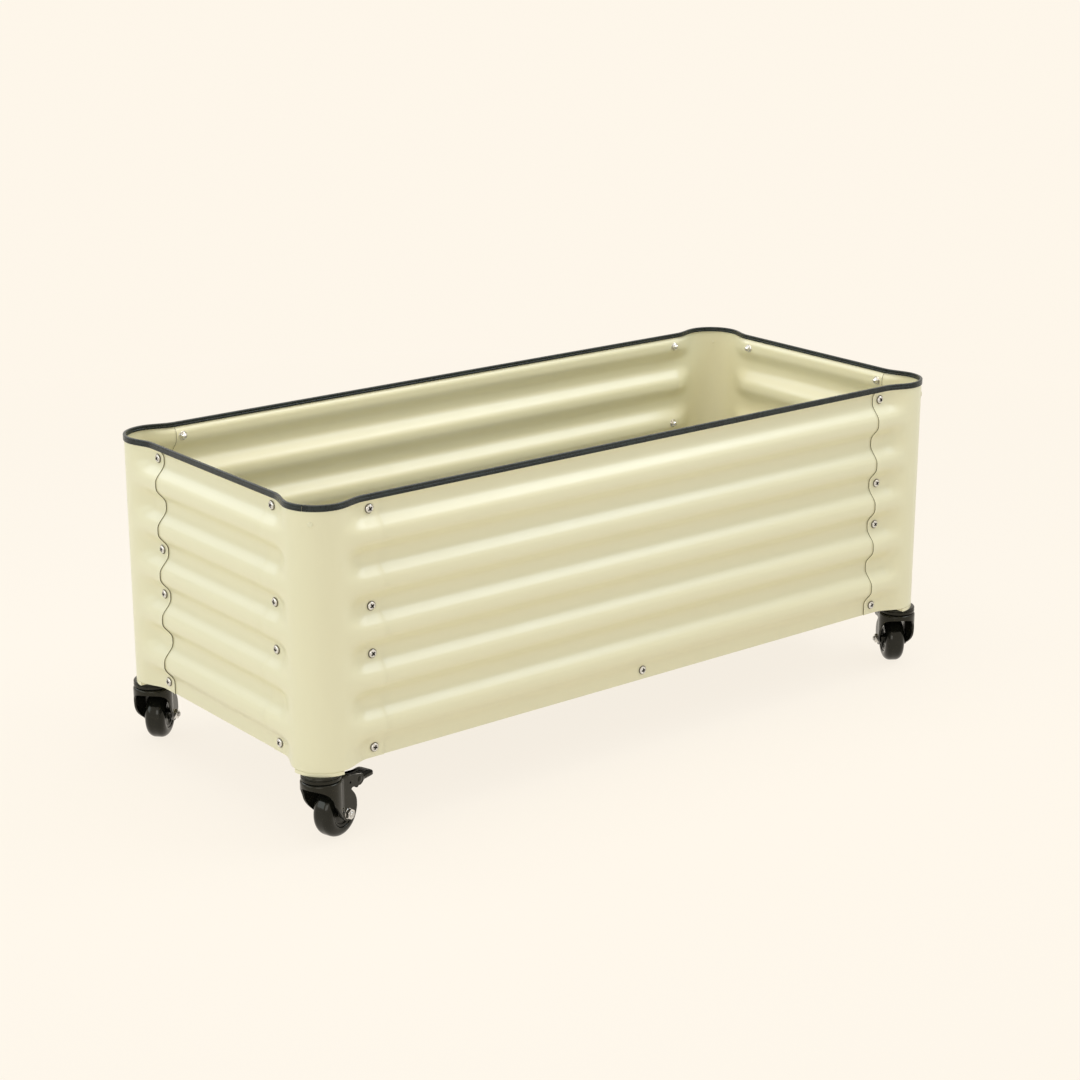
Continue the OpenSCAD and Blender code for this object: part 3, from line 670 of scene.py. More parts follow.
class Finish(Enum):
    """The finishes on the planter: each one's material slot in the record, and where it lies."""

    CREAM = ("cream_paint", "sheets")
    # Dark edge finish: partly the bare cut edge, partly painted shade of the gap between lapped sheets.
    CUT_EDGE = ("cream_paint", "cut edges")
    PLUG = ("cream_plastic", "plugs")
    RUBBER = ("black_rubber", "rim")
    BRIGHT = ("bright_steel", "bolts and nuts")
    # Painted shade: the faces in the bolts' cross recesses are darkened to stand for the shade in them.
    RECESS = ("bright_steel", "recesses of the bolts")
    ZINC = ("zinc_steel", "caster hardware")
    # Painted shade: the zinc washers are darkened to stand for the shade ring round each bolt head.
    WASHER = ("zinc_steel", "washers")
    GALVANISED = ("galvanised_steel", "base")
    BALLS = ("ball_steel", "races")
    ENAMEL = ("black_enamel", "casters")
    HUB = ("black_hub_plastic", "hubs")
    TREAD = ("black_tread", "tyres")

    @property
    def slot(self) -> str:
        """The record's material slot."""
        return self.value[0]


def finishes() -> dict[Finish, bpy.types.Material]:
    """Builds every finish once.

    Returns:
        The material of each finish.
    """
    recipes = {
        Finish.CREAM: PowderCoat(),
        # Partly the bare cut edge's colour and partly painted shade of the gap between lapped sheets.
        Finish.CUT_EDGE: MouldedPolymer(
            "cut_edge", colour=(0.10, 0.085, 0.045, 1.0), dusty=(0.16, 0.135, 0.075, 1.0),
            roughness=0.6, scuffed=0.2),
        Finish.PLUG: MouldedPolymer(
            "cream_plug", colour=(0.745, 0.71, 0.49, 1.0), dusty=(0.715, 0.68, 0.46, 1.0),
            roughness=0.38, scuffed=0.12),
        Finish.RUBBER: ExtrudedRubber(),
        Finish.BRIGHT: PlatedSteel(
            "bright_plating", colour=(0.80, 0.79, 0.77, 1.0), dull=(0.48, 0.46, 0.42, 1.0),
            smoothness=0.84, patches=210.0),
        # Painted shade in the recesses of the bolt heads, not a plating of its own.
        Finish.RECESS: PlatedSteel(
            "shaded_plating", colour=(0.07, 0.065, 0.055, 1.0), dull=(0.03, 0.028, 0.024, 1.0),
            smoothness=0.60),
        Finish.ZINC: PlatedSteel(
            "zinc_plating", colour=(0.56, 0.55, 0.53, 1.0), dull=(0.36, 0.35, 0.33, 1.0),
            smoothness=0.70),
        # Zinc darkened as painted shade round the bolt heads.
        Finish.WASHER: PlatedSteel(
            "washer_plating", colour=(0.20, 0.185, 0.155, 1.0), dull=(0.11, 0.10, 0.08, 1.0),
            smoothness=0.62),
        Finish.GALVANISED: PlatedSteel(
            "galvanised_sheet", colour=(0.40, 0.41, 0.42, 1.0), dull=(0.31, 0.32, 0.33, 1.0),
            smoothness=0.44, patches=9.0, grain=420.0, spangle=48.0),
        Finish.BALLS: PlatedSteel(
            "ball_steel", colour=(0.80, 0.80, 0.81, 1.0), dull=(0.62, 0.60, 0.56, 1.0),
            smoothness=0.88, patches=300.0),
        Finish.ENAMEL: BlackEnamel(),
        Finish.HUB: MouldedPolymer(
            "hub_polymer", colour=(0.0075, 0.0075, 0.0055, 1.0), dusty=(0.0145, 0.0140, 0.0105, 1.0),
            roughness=0.14, scuffed=0.10, index=1.36),
        Finish.TREAD: MouldedPolymer(
            "tread_polymer", colour=(0.0070, 0.0072, 0.0052, 1.0), dusty=(0.0120, 0.0120, 0.0090, 1.0),
            roughness=0.09, scuffed=0.08, index=1.38),
    }
    return {finish: recipe.build() for finish, recipe in recipes.items()}


MATERIALS = finishes()


# --------------------------------------------------------------------------------------------------
# Pieces
# --------------------------------------------------------------------------------------------------


@dataclass(frozen=True)
class Piece:
    """What a piece of the planter is called, rides on, is finished in and stands for.

    crease is the angle in degrees over which an edge stays sharp. bevel is the width in millimetres of
    the sharp edges' rounding, and wall is the thickness that an open sheet is given.
    """

    name: str
    body: str
    finish: Finish
    replaces: tuple[str, ...] = ()
    crease: float = 38.0
    bevel: float = 0.0
    wall: float = 0.0

    def make(self, shape: Shape) -> bpy.types.Object:
        """Turns a shape into the piece.

        Doubles are merged, faces are turned outwards, and edges sharper than the crease angle stay
        sharp. A wall gives a sheet its thickness, and a bevel rounds the sharp edges.

        Args:
            shape: The piece's shape, in millimetres.

        Returns:
            The object, riding on its body.
        """
        mesh = bpy.data.meshes.new(self.name)
        mesh.from_pydata((shape.points * MM).tolist(), [], shape.faces)
        tools = bmesh.new()
        tools.from_mesh(mesh)
        bmesh.ops.remove_doubles(tools, verts=tools.verts, dist=MERGE_MM * MM)
        bmesh.ops.dissolve_degenerate(tools, edges=tools.edges, dist=MERGE_MM * MM / 2)
        bmesh.ops.recalc_face_normals(tools, faces=tools.faces)
        tools.to_mesh(mesh)
        tools.free()
        mesh.shade_smooth()
        mesh.set_sharp_from_angle(angle=math.radians(self.crease))
        mesh.materials.append(MATERIALS[self.finish])
        piece = bpy.data.objects.new(self.name, mesh)
        bpy.context.scene.collection.objects.link(piece)
        if self.wall > 0:
            solid = piece.modifiers.new("wall", "SOLIDIFY")
            solid.thickness = self.wall * MM
            solid.offset = -1.0
            solid.use_even_offset = True
        if self.bevel > 0:
            edge = piece.modifiers.new("edges", "BEVEL")
            edge.width = self.bevel * MM
            edge.segments = 2
            edge.limit_method = "ANGLE"
            edge.angle_limit = math.radians(self.crease)
            edge.harden_normals = True
        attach(piece, self.body)
        if self.replaces:
            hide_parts(*self.replaces)
        LOG.info("%s: %d points on %s", self.name, len(mesh.vertices), self.body)
        return piece


def face_centres(piece: bpy.types.Object) -> Array:
    """Centres of a piece's faces, in millimetres.

    Args:
        piece: The piece.

    Returns:
        Array of faces x 3.
    """
    centres = np.empty(len(piece.data.polygons) * 3)
    piece.data.polygons.foreach_get("center", centres)
    return centres.reshape(-1, 3) / MM


def mark_faces(piece: bpy.types.Object, chosen: Array, finish: Finish) -> None:
    """Gives some of a piece's faces another finish.

    Args:
        piece: The piece.
        chosen: Whether each face is meant.
        finish: Their finish.
    """
    piece.data.materials.append(MATERIALS[finish])
    piece.data.polygons.foreach_set("material_index", np.asarray(chosen).astype(np.int32))


def dress(node: str, finish: Finish) -> None:
    """Gives a carried-over CAD node its finish.

    Args:
        node: The node's name.
        finish: Its finish.
    """
    part = frame["nodes"][node]
    part.data.materials.clear()
    part.data.materials.append(MATERIALS[finish])
    LOG.info("%s: carried over", node)


def node_box(node: str) -> tuple[Array, Array]:
    """A CAD node's lowest and highest corner, in millimetres."""
    low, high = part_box(node)
    return np.array(low) / MM, np.array(high) / MM


class Corner(Enum):
    """The tub's corners, each with its side in X and Y."""

    FRONT_LEFT = (-1, -1)
    BACK_LEFT = (-1, 1)
    FRONT_RIGHT = (1, -1)
    BACK_RIGHT = (1, 1)

    @property
    def label(self) -> str:
        """The corner's name as the nodes write it."""
        return self.name.lower()

    def to_frame(self, tub: "Tub", points: Array) -> Array:
        """Points given as insets from the corner's two outer faces, moved to the frame.

        Args:
            tub: The tub's sizes.
            points: Array that ends in (inset from the short wall, inset from the long wall, height).

        Returns:
            The same points in X, Y and Z.
        """
        side = np.array(self.value)
        half = np.array([tub.length, tub.width]) / 2
        return np.concatenate([side * (half - points[..., :2]), points[..., 2:]], axis=-1)


# --------------------------------------------------------------------------------------------------
# Tub
# --------------------------------------------------------------------------------------------------


class Wall(Enum):
    """The tub's straight walls, each with the axis that it runs along and its side of the other axis."""

    FRONT = (0, -1)
    BACK = (0, 1)
    LEFT = (1, -1)
    RIGHT = (1, 1)


@dataclass
class Tub:
    """The walls: corrugated sheets, four of them rounded at a corner.

    Heights follow the frame. At a height, dip is the share of the corrugation's depth by which the
    sheet lies inside the outer face: 1 in a valley, 0 on a crest, and half a cosine between them.
    """

    sheet: float = 1.0
    pitch: float = 70.0
    depth: float = 16.0
    land: float = 8.0
    crests: int = 5
    top_margin: float = 20.0
    trim_drop: float = 7.0
    corner_radius: float = 50.0
    corner_leg: float = 127.0
    seam_edge: float = 16.0
    seam_lap: float = 11.0
    edge_flare: float = 0.7
    flare_reach: float = 7.0
    waver: float = 0.2
    rows_per_pitch: int = 16
    length: float = field(init=False)
    width: float = field(init=False)
    low: float = field(init=False)
    high: float = field(init=False)

    def __post_init__(self) -> None:
        """Reads the tub's overall sizes from the frame."""
        near_low, _ = node_box("corner_panel_front_left")
        _, far_high = node_box("corner_panel_back_right")
        self.length = float(far_high[0] - near_low[0])
        self.width = float(far_high[1] - near_low[1])
        self.low, self.high = float(near_low[2]), float(far_high[2])

    @property
    def first_valley(self) -> float:
        """Height of the lowest valley."""
        return self.last_valley - self.crests * self.pitch

    @property
    def last_valley(self) -> float:
        """Height of the highest valley."""
        return self.high - self.top_margin

    @property
    def rim_lift(self) -> float:
        """Height from the highest valley to where the sheets run straight up inside the trim."""
        return self.top_margin - self.trim_drop

    @property
    def panel_start(self) -> float:
        """Distance of a straight panel's end from the other wall's outer face."""
        return self.seam - self.seam_lap

    @property
    def seam(self) -> float:
        """Distance of the seam bolts from the other wall's outer face."""
        return self.corner_leg - self.seam_edge

    def row_height(self, row: int) -> float:
        """Height of a valley, counted from the lowest."""
        return self.first_valley + row * self.pitch

    def dip(self, height: Array) -> Array:
        """Share of the corrugation's depth at a height.

        Args:
            height: Heights.

        Returns:
            1 in the valleys and on the lower margin, 0 on the crests. Over the highest valley the
            wave goes on up to the trim.
        """
        height = np.asarray(height, float)
        from_valley = self.pitch / 2 - np.abs((height - self.first_valley) % self.pitch - self.pitch / 2)
        from_valley = np.where(height < self.first_valley, 0.0, from_valley)
        over = np.minimum(height - self.last_valley, self.rim_lift)
        from_valley = np.where(height > self.last_valley, over, from_valley)
        flank = self.pitch / 2 - self.land
        t = np.clip(from_valley - self.land / 2, 0.0, flank)
        return (1 + np.cos(np.pi * t / flank)) / 2

    def heights(self) -> Array:
        """Heights of the rows of points, close together on the corrugations.

        Returns:
            The heights, rising.
        """
        waves = np.linspace(self.first_valley, self.last_valley, self.crests * self.rows_per_pitch + 1)
        over = self.last_valley + np.linspace(0.0, self.rim_lift, 6)[1:]
        return np.concatenate([[self.low, self.low + 1.5], waves, over, [self.high]])

    def fade(self, reach: Array) -> Array:
        """Share of the corrugation that is left at a distance from the other wall's outer face."""
        return ease((reach - self.corner_radius) / (self.panel_start - self.corner_radius))

    def leg_reaches(self) -> Array:
        """Distances of the columns of points along a corner panel's leg.

        Returns:
            The distances from the other wall's outer face, falling from the leg's edge to the arc.
        """
        edge = self.corner_leg - np.array([0.0, 1.5, 3.5, 6.0, 11.0])
        flat = np.linspace(edge[-1], self.panel_start, 4)[1:]
        fading = np.linspace(self.panel_start, self.corner_radius, 22)[1:]
        return np.concatenate([edge, flat, fading])

    def flare(self, reach: Array) -> Array:
        """How far a corner panel's leg stands off the panel under it: most at its edge."""
        return self.edge_flare * ease((reach - self.corner_leg + self.flare_reach) / self.flare_reach)

    def corner_line(self, dip: Array, inset: float, arc_steps: int = 24, flared: bool = False) -> Array:
        """Plan of a corner panel at one or more heights, as insets from both outer faces.

        Along a leg it lies depth x dip x fade inside the outer face, and between the legs it is an arc.

        Args:
            dip: Share of the corrugation's depth, one for each row.
            inset: Offset inwards from the outer face.
            arc_steps: Steps round the corner.
            flared: Whether the leg's edge stands off a little.

        Returns:
            Array of rows x columns x 2, from the long wall's edge round to the short wall's.
        """
        dip = np.atleast_1d(dip)[:, None]
        reach = self.leg_reaches()[None, :]
        across = self.depth * dip * self.fade(reach) + inset - (self.flare(reach) if flared else 0.0)
        along = np.broadcast_to(reach, across.shape)
        long_leg = np.stack([along, across], axis=-1)
        short_leg = np.stack([across, along], axis=-1)[:, ::-1]
        radius = self.corner_radius
        bend = arc((radius, radius), radius - inset, 270.0, 180.0, arc_steps)[1:-1]
        bend = np.broadcast_to(bend, (len(dip), *bend.shape))
        return np.concatenate([long_leg, bend, short_leg], axis=1)

    def walled(self, outer: Array, inner: Array) -> Shape:
        """Closed sheet between two grids: outer rows, then inner rows back, joined at all edges.

        Args:
            outer: Grid of rows x columns x 3.
            inner: Grid of the same size.

        Returns:
            A closed shape once its doubles are merged.
        """
        ring = np.concatenate([outer, inner[::-1]])
        shell = grid_shape(ring, closed_rows=True)
        ends = [grid_shape(np.stack([outer[:, k], inner[:, k]])) for k in (0, -1)]
        return joined([shell, *ends])

    def corner_sheet(self, corner: Corner) -> Shape:
        """Corner panel: its plan line at every height, outside and inside.

        Args:
            corner: The corner that it goes round.

        Returns:
            A closed shape once its doubles are merged.
        """
        heights = self.heights()
        grids = []
        for inset in (0.0, self.sheet):
            plan = self.corner_line(self.dip(heights), inset, flared=True)
            rise = np.broadcast_to(heights[:, None, None], (*plan.shape[:2], 1))
            grids.append(corner.to_frame(self, np.concatenate([plan, rise], axis=-1)))
        return self.walled(*grids)

    def straight_sheet(self, wall: Wall, columns: int = 41) -> Shape:
        """Straight panel: its plan line at every height, outside and inside, under the corner panels.

        A sheet this long isn't quite flat: two long waves, a product of a sine and a cosine, run
        along it and die out towards its ends.

        Args:
            wall: The wall that it stands in.
            columns: Columns of points along it.

        Returns:
            A closed shape once its doubles are merged.
        """
        axis, side = wall.value
        run, across = (self.length, self.width) if axis == 0 else (self.width, self.length)
        half_run = run / 2 - self.panel_start
        u, z = np.meshgrid(np.linspace(-half_run, half_run, columns), self.heights())
        end_hold = ease((half_run - np.abs(u)) / (half_run * 0.2))
        waver = self.waver * end_hold * np.sin(u / 83.0 + z / 61.0) * np.cos(z / 47.0 - u / 190.0)
        outer = self.depth * self.dip(z) + self.sheet + waver
        grids = []
        for inset in (outer, outer + self.sheet):
            grid = np.empty((*u.shape, 3))
            grid[..., axis] = u
            grid[..., 1 - axis] = side * (across / 2 - inset)
            grid[..., 2] = z
            grids.append(grid)
        return self.walled(*grids)

    def from_walls(self, piece: bpy.types.Object) -> Array:
        """Distances of a piece's faces from the nearer short and the nearer long wall's outer face."""
        return np.array([self.length, self.width]) / 2 - np.abs(face_centres(piece)[:, :2])

    def build(self) -> None:
        """Makes the eight wall panels, and gives their cut edges a dark finish: partly the bare edge,
        partly painted shade of the gap between the lapped sheets.
        """
        for corner in Corner:
            node = f"corner_panel_{corner.label}"
            sheet = Piece(f"{node}_sheet", "planter", Finish.CREAM, (node,)).make(self.corner_sheet(corner))
            # The corner panels' cut ends get the dark edge finish: bare edge and painted shade of the lap
            # gap.
            cut = self.from_walls(sheet) > self.corner_leg - EDGE_TOLERANCE
            mark_faces(sheet, np.any(cut, axis=1), Finish.CUT_EDGE)
        for wall in Wall:
            node = f"{wall.name.lower()}_panel"
            sheet = Piece(f"{node}_sheet", "planter", Finish.CREAM, (node,)).make(self.straight_sheet(wall))
            # The straight panels' cut ends get the same dark edge finish: bare edge and painted shade.
            along = self.from_walls(sheet)[:, wall.value[0]]
            mark_faces(sheet, along < self.panel_start + EDGE_TOLERANCE, Finish.CUT_EDGE)


@dataclass
class RimTrim:
    """Rubber strip over the sheets' top edge: a U with a rounded back, and a groove along each side.

    It is cut to length and its ends meet in one of the rounded corners, a hair apart.
    """

    tub: Tub
    wall: float = 1.2
    crown: float = 2.0
    slip: float = 0.15
    groove: float = 0.4
    groove_levels: tuple[float, float, float, float] = (-2.9, -2.4, -1.7, -1.2)
    inner_drop: float = 5.4
    joint_gap: float = 0.8
    joint_angle: float = 212.5

    def profile(self) -> Array:
        """The U as a closed line of (outwards, height over the sheet's top edge).

        Returns:
            Array of points x 2. Outwards 0 is the outer face of the sheets.
        """
        slot_out, slot_in = self.slip, -2 * self.tub.sheet - self.slip
        out, far = slot_out + self.wall, slot_in - self.wall
        out_floor, far_floor = out - self.groove, far + self.groove
        low, short, top = -self.tub.trim_drop, -self.inner_drop, self.crown
        mouth_low, floor_low, floor_high, mouth_high = self.groove_levels
        corners = [
            (out, low, 0.4), (out, mouth_low, 0.4), (out_floor, floor_low, 0.2),
            (out_floor, floor_high, 0.2), (out, mouth_high, 0.5), (out, top, 1.5), (far, top, 1.5),
            (far, mouth_high, 0.5), (far_floor, floor_high, 0.2), (far_floor, floor_low, 0.2),
            (far, mouth_low, 0.4), (far, short, 0.4), (slot_in, short, 0.3), (slot_in, 0.0, 0.2),
            (slot_out, 0.0, 0.2), (slot_out, low, 0.3)]
        return filleted(corners, 4, closed=True)

    def path(self) -> tuple[Array, Array]:
        """Line of the sheets' outer face round the whole rim, and its outward normals.

        Returns:
            Points and unit normals, in X and Y, going round once from the joint.
        """
        line = self.tub.corner_line(self.tub.dip(self.tub.high), 0.0, 36)[0]
        flat = np.column_stack([line, np.zeros(len(line))])
        turns = [(Corner.FRONT_LEFT, 1), (Corner.BACK_LEFT, -1),
                 (Corner.BACK_RIGHT, 1), (Corner.FRONT_RIGHT, -1)]
        ring = np.concatenate([corner.to_frame(self.tub, flat)[::step, :2] for corner, step in turns])
        centre = np.array([-self.tub.length, -self.tub.width]) / 2 + self.tub.corner_radius
        angle = math.radians(self.joint_angle)
        joint = centre + self.tub.corner_radius * np.array([math.cos(angle), math.sin(angle)])
        start = int(np.argmin(np.linalg.norm(ring - joint, axis=1)))
        ring = looped(np.roll(ring, -start, axis=0))
        tangent = np.gradient(ring, axis=0)
        tangent[0] = tangent[-1] = (ring[1] - ring[-2]) / 2
        tangent /= np.linalg.norm(tangent, axis=1, keepdims=True)
        ring[0] += tangent[0] * self.joint_gap / 2
        ring[-1] -= tangent[-1] * self.joint_gap / 2
        normal = np.stack([tangent[:, 1], -tangent[:, 0]], axis=-1)
        outwards = np.sum(normal * ring, axis=1).mean() > 0
        return ring, normal if outwards else -normal

    def build(self) -> None:
        """Makes the strip."""
        ring, normal = self.path()
        profile = self.profile()
        plan = ring[:, None] + normal[:, None] * profile[None, :, :1]
        rise = np.broadcast_to(self.tub.high + profile[None, :, 1:], (*plan.shape[:2], 1))
        body = grid_shape(np.concatenate([plan, rise], axis=-1), closed_columns=True)
        count, last = len(profile), len(body.points)
        caps = [list(range(count)), list(range(last - count, last))]
        Piece("rim_trim_strip", "planter", Finish.RUBBER, ("rim_trim",), crease=50.0).make(
            Shape(body.points, body.faces + caps))


@dataclass(frozen=True)
class BoltPlace:
    """Where a panel bolt sits: its axis's point on the wall's outer face, the outward normal and its row.

    The bolts in the middle of the long walls pass one sheet less than those in the seams.
    """

    point: Array
    normal: Array
    row: int
    middle: bool = False


@dataclass
class PanelFasteners:
    """Bolts, washers and domed nuts of the wall panels, and the plugs in the rounded corners."""

    tub: Tub
    shank: float = 6.0
    head: float = 12.0
    head_height: float = 2.7
    head_rim: float = 0.6
    recess_depth: float = 1.9
    recess_reach: float = 3.7
    recess_half_width: float = 1.2
    washer: float = 14.0
    washer_thick: float = 0.8
    nut_width: float = 10.0
    nut_height: float = 4.0
    nut_flange: float = 14.0
    nut_flange_thick: float = 1.2
    base_stack: float = 5.0
    plug: float = 8.0
    plug_rise: float = 1.2
    plug_tail: float = 3.0
    plug_drop: float = 25.0
    rows: tuple[int, ...] = (0, 2, 3, 5)

    def places(self) -> list[BoltPlace]:
        """Every bolt's place: four beside each corner on either wall, then the middles of the long walls.

        Returns:
            The places, in the order in which the bolts are made.
        """
        tub = self.tub
        half_x, half_y = tub.length / 2, tub.width / 2
        found = []
        for corner in Corner:
            x, y = corner.value
            for row in self.rows:
                z = tub.row_height(row)
                on_long = np.array([x * (half_x - tub.seam), y * half_y, z])
                on_short = np.array([x * half_x, y * (half_y - tub.seam), z])
                found.append(BoltPlace(on_long, np.array([0.0, y, 0.0]), row))
                found.append(BoltPlace(on_short, np.array([x, 0.0, 0.0]), row))
        for y in (-1, 1):
            point = np.array([0.0, y * half_y, tub.row_height(0)])
            found.append(BoltPlace(point, np.array([0.0, y, 0.0]), 0, middle=True))
        return found

    def washer_inset(self, middle: bool) -> float:
        """Inset of a washer's outer face: its rim rests on the slopes beside the valley.

        Args:
            middle: Whether its bolt is in the middle of a long wall.

        Returns:
            The distance inwards from the wall's outer face.
        """
        tub = self.tub
        lift = tub.depth * (1 - float(tub.dip(tub.first_valley + self.washer / 2)))
        return tub.depth - lift - self.washer_thick + (tub.sheet if middle else 0.0)

    def nut_inset(self, row: int) -> float:
        """Inset of a nut's seat: on both sheets, or in the lowest row on the base's stack behind them."""
        return self.tub.depth + 2 * self.tub.sheet + (self.base_stack if row == 0 else 0.0)

    def bolt_head(self) -> Shape:
        """Truss head with a cross recess; +Z points out of the wall, from the washer's outer face.

        The height falls off as a flat ellipse towards the rim. The recess is two crossed bars with
        steep walls, and its depth is the deeper of the two bars' at each point.

        Returns:
            A closed shape.
        """
        rim, sides = self.head / 2, 72
        radius = np.concatenate([np.linspace(0.0, 4.0, 25), np.linspace(4.3, rim, 7)])
        r, a = np.meshgrid(radius, directions(sides), indexing="ij")
        x, y = r * np.cos(a), r * np.sin(a)
        wide, far = self.recess_half_width, self.recess_reach
        bar_x = ease((wide - np.abs(y)) / 0.4) * ease((far - np.abs(x)) / 0.8)
        bar_y = ease((wide - np.abs(x)) / 0.4) * ease((far - np.abs(y)) / 0.8)
        z = self.crown(r) - self.recess_depth * np.maximum(bar_x, bar_y)
        top = grid_shape(np.stack([x, y, z], axis=-1), closed_columns=True)
        edge = np.array([[rim, z[-1, 0]], [rim, 0.0], [0.0, 0.0]])
        return joined([top, turned(edge, sides)])

    def crown(self, radius: Array) -> Array:
        """Height of a bolt's head at a distance from its axis: a flat ellipse over a thin rim."""
        share = np.clip(1 - (radius / (self.head / 2 + 0.15)) ** 2, 0.0, 1.0)
        return self.head_rim + (self.head_height - self.head_rim) * np.sqrt(share)

    def in_recess(self, points: Array) -> Array:
        """Whether points lie in a bolt's recess, whose faces get a painted shade: in front of its washer,
        and well under the head's crown.

        Args:
            points: Points on the bolts.

        Returns:
            One answer for each point.
        """
        found = np.zeros(len(points), bool)
        for place in self.places():
            offset = points - (place.point - place.normal * self.washer_inset(place.middle))
            rise = offset @ place.normal
            radius = np.linalg.norm(offset - rise[:, None] * place.normal, axis=1)
            found |= (radius < self.head / 2 - 1.0) & (rise > 0.2) & (rise < self.crown(radius) - 0.3)
        return found

    def dome_nut(self) -> Shape:
        """Domed nut on its flange; +Z points away from the wall.

        It is a stack of rings: round on the flange and the dome, and a hexagon with its corners turned
        down between them.

        Returns:
            A closed shape.
        """
        angle = directions(72)
        thick, height, rim = self.nut_flange_thick, self.nut_height, self.nut_flange / 2
        flange = np.array([[0.0, 0.0], [rim - 0.2, 0.0], [rim, 0.25], [rim, thick - 0.4],
                           [rim - 0.35, thick - 0.05], [rim - 1.0, thick + 0.05]])
        level = np.linspace(thick + 0.15, height, 7)
        hexagon = hexagon_radii(angle, self.nut_width, height - level, 0.49)
        dome = arc((0.0, 0.0), self.nut_width / 2 - 0.35, 0.0, 90.0, 10) * np.array([1.0, 0.95])
        dome[-1, 0] = 0.0
        rings = np.concatenate([np.broadcast_to(flange[:, :1], (len(flange), angle.size)), hexagon,
                                np.broadcast_to(dome[:, :1], (len(dome), angle.size))])
        heights = np.concatenate([flange[:, 1], level, dome[:, 1] + height + 0.1])
        return grid_shape(spun(rings, heights, angle), closed_columns=True)

    def washer_ring(self) -> Shape:
        """Flat ring with rounded rims; its outer face is at Z 0, and its inner face under it.

        Returns:
            A closed shape.
        """
        low, out, hole = -self.washer_thick, self.washer / 2, self.shank / 2 + 0.25
        corners = [(hole, 0.0, 0.2), (out, 0.0, 0.3), (out, low, 0.15), (hole, low, 0.1)]
        return turned(looped(filleted(corners, 3, closed=True)), 48)

    def plug_cap(self) -> Shape:
        """Plug of a rounded corner: a low dome with a thin rim, and its tail; +Z points out of the wall.

        Returns:
            A closed shape.
        """
        rim, tail, rise, low = self.plug / 2, self.plug / 4, self.plug_rise, -self.plug_tail
        line = filleted([(0.0, rise, 0.0), (rim - 0.9, rise, 1.2), (rim, 0.45, 0.3), (rim, 0.0, 0.1),
                         (tail, 0.0, 0.1), (tail, low, 0.3), (0.0, low, 0.0)], 4)
        return turned(line, 40)

    def build_bolts(self) -> None:
        """Makes the bolts, washers and nuts, each kind as one piece, with two turns drawn for each bolt."""
        draw = np.random.default_rng(41)
        head, nut, ring = self.bolt_head(), self.dome_nut(), self.washer_ring()
        bolts, nuts, washers = [], [], []
        for place in self.places():
            point, normal = place.point, place.normal
            outer, seat = self.washer_inset(place.middle), self.nut_inset(place.row)
            spin, nut_spin = draw.uniform(0, 2 * np.pi, 2)
            out = axes_to(normal, spin)
            bolts.append(head.moved(out, point - normal * outer))
            radius, tip = self.shank / 2, -seat - self.nut_height + 0.3
            shank = np.array([[0.0, -outer], [radius, -outer], [radius, tip], [0.0, tip]])
            bolts.append(turned(shank, 24).moved(out, point))
            washers.append(ring.moved(out, point - normal * outer))
            nuts.append(nut.moved(axes_to(-normal, nut_spin), point - normal * seat))
        kind = Piece("panel_bolt_heads", "planter", Finish.BRIGHT, ("panel_bolts",), crease=50.0)
        heads = kind.make(joined(bolts))
        # The recess faces get the dark finish: painted shade.
        mark_faces(heads, self.in_recess(face_centres(heads)), Finish.RECESS)
        # The washers' dark finish is painted shade round the bolt heads.
        Piece("panel_washer_rings", "planter", Finish.WASHER, ("panel_washers",)).make(joined(washers))
        Piece("panel_dome_nuts", "planter", Finish.BRIGHT, ("panel_nuts",), crease=28.0).make(joined(nuts))

    def build_plugs(self) -> None:
        """Makes the four plugs, each in the middle of its corner's arc, as one piece."""
        plugs = []
        inset = self.tub.corner_radius * (1 - math.sqrt(0.5))
        for corner in Corner:
            outward = np.array([*corner.value, 0.0]) / math.sqrt(2)
            height = self.tub.high - self.plug_drop
            point = corner.to_frame(self.tub, np.array([inset, inset, height]))
            plugs.append(self.plug_cap().moved(axes_to(outward), point))
        Piece("corner_plug_caps", "planter", Finish.PLUG, ("corner_plugs",)).make(joined(plugs))

    def build(self) -> None:
        """Makes the bolts, washers, nuts and plugs."""
        self.build_bolts()
        self.build_plugs()


# --------------------------------------------------------------------------------------------------
# Base
# --------------------------------------------------------------------------------------------------


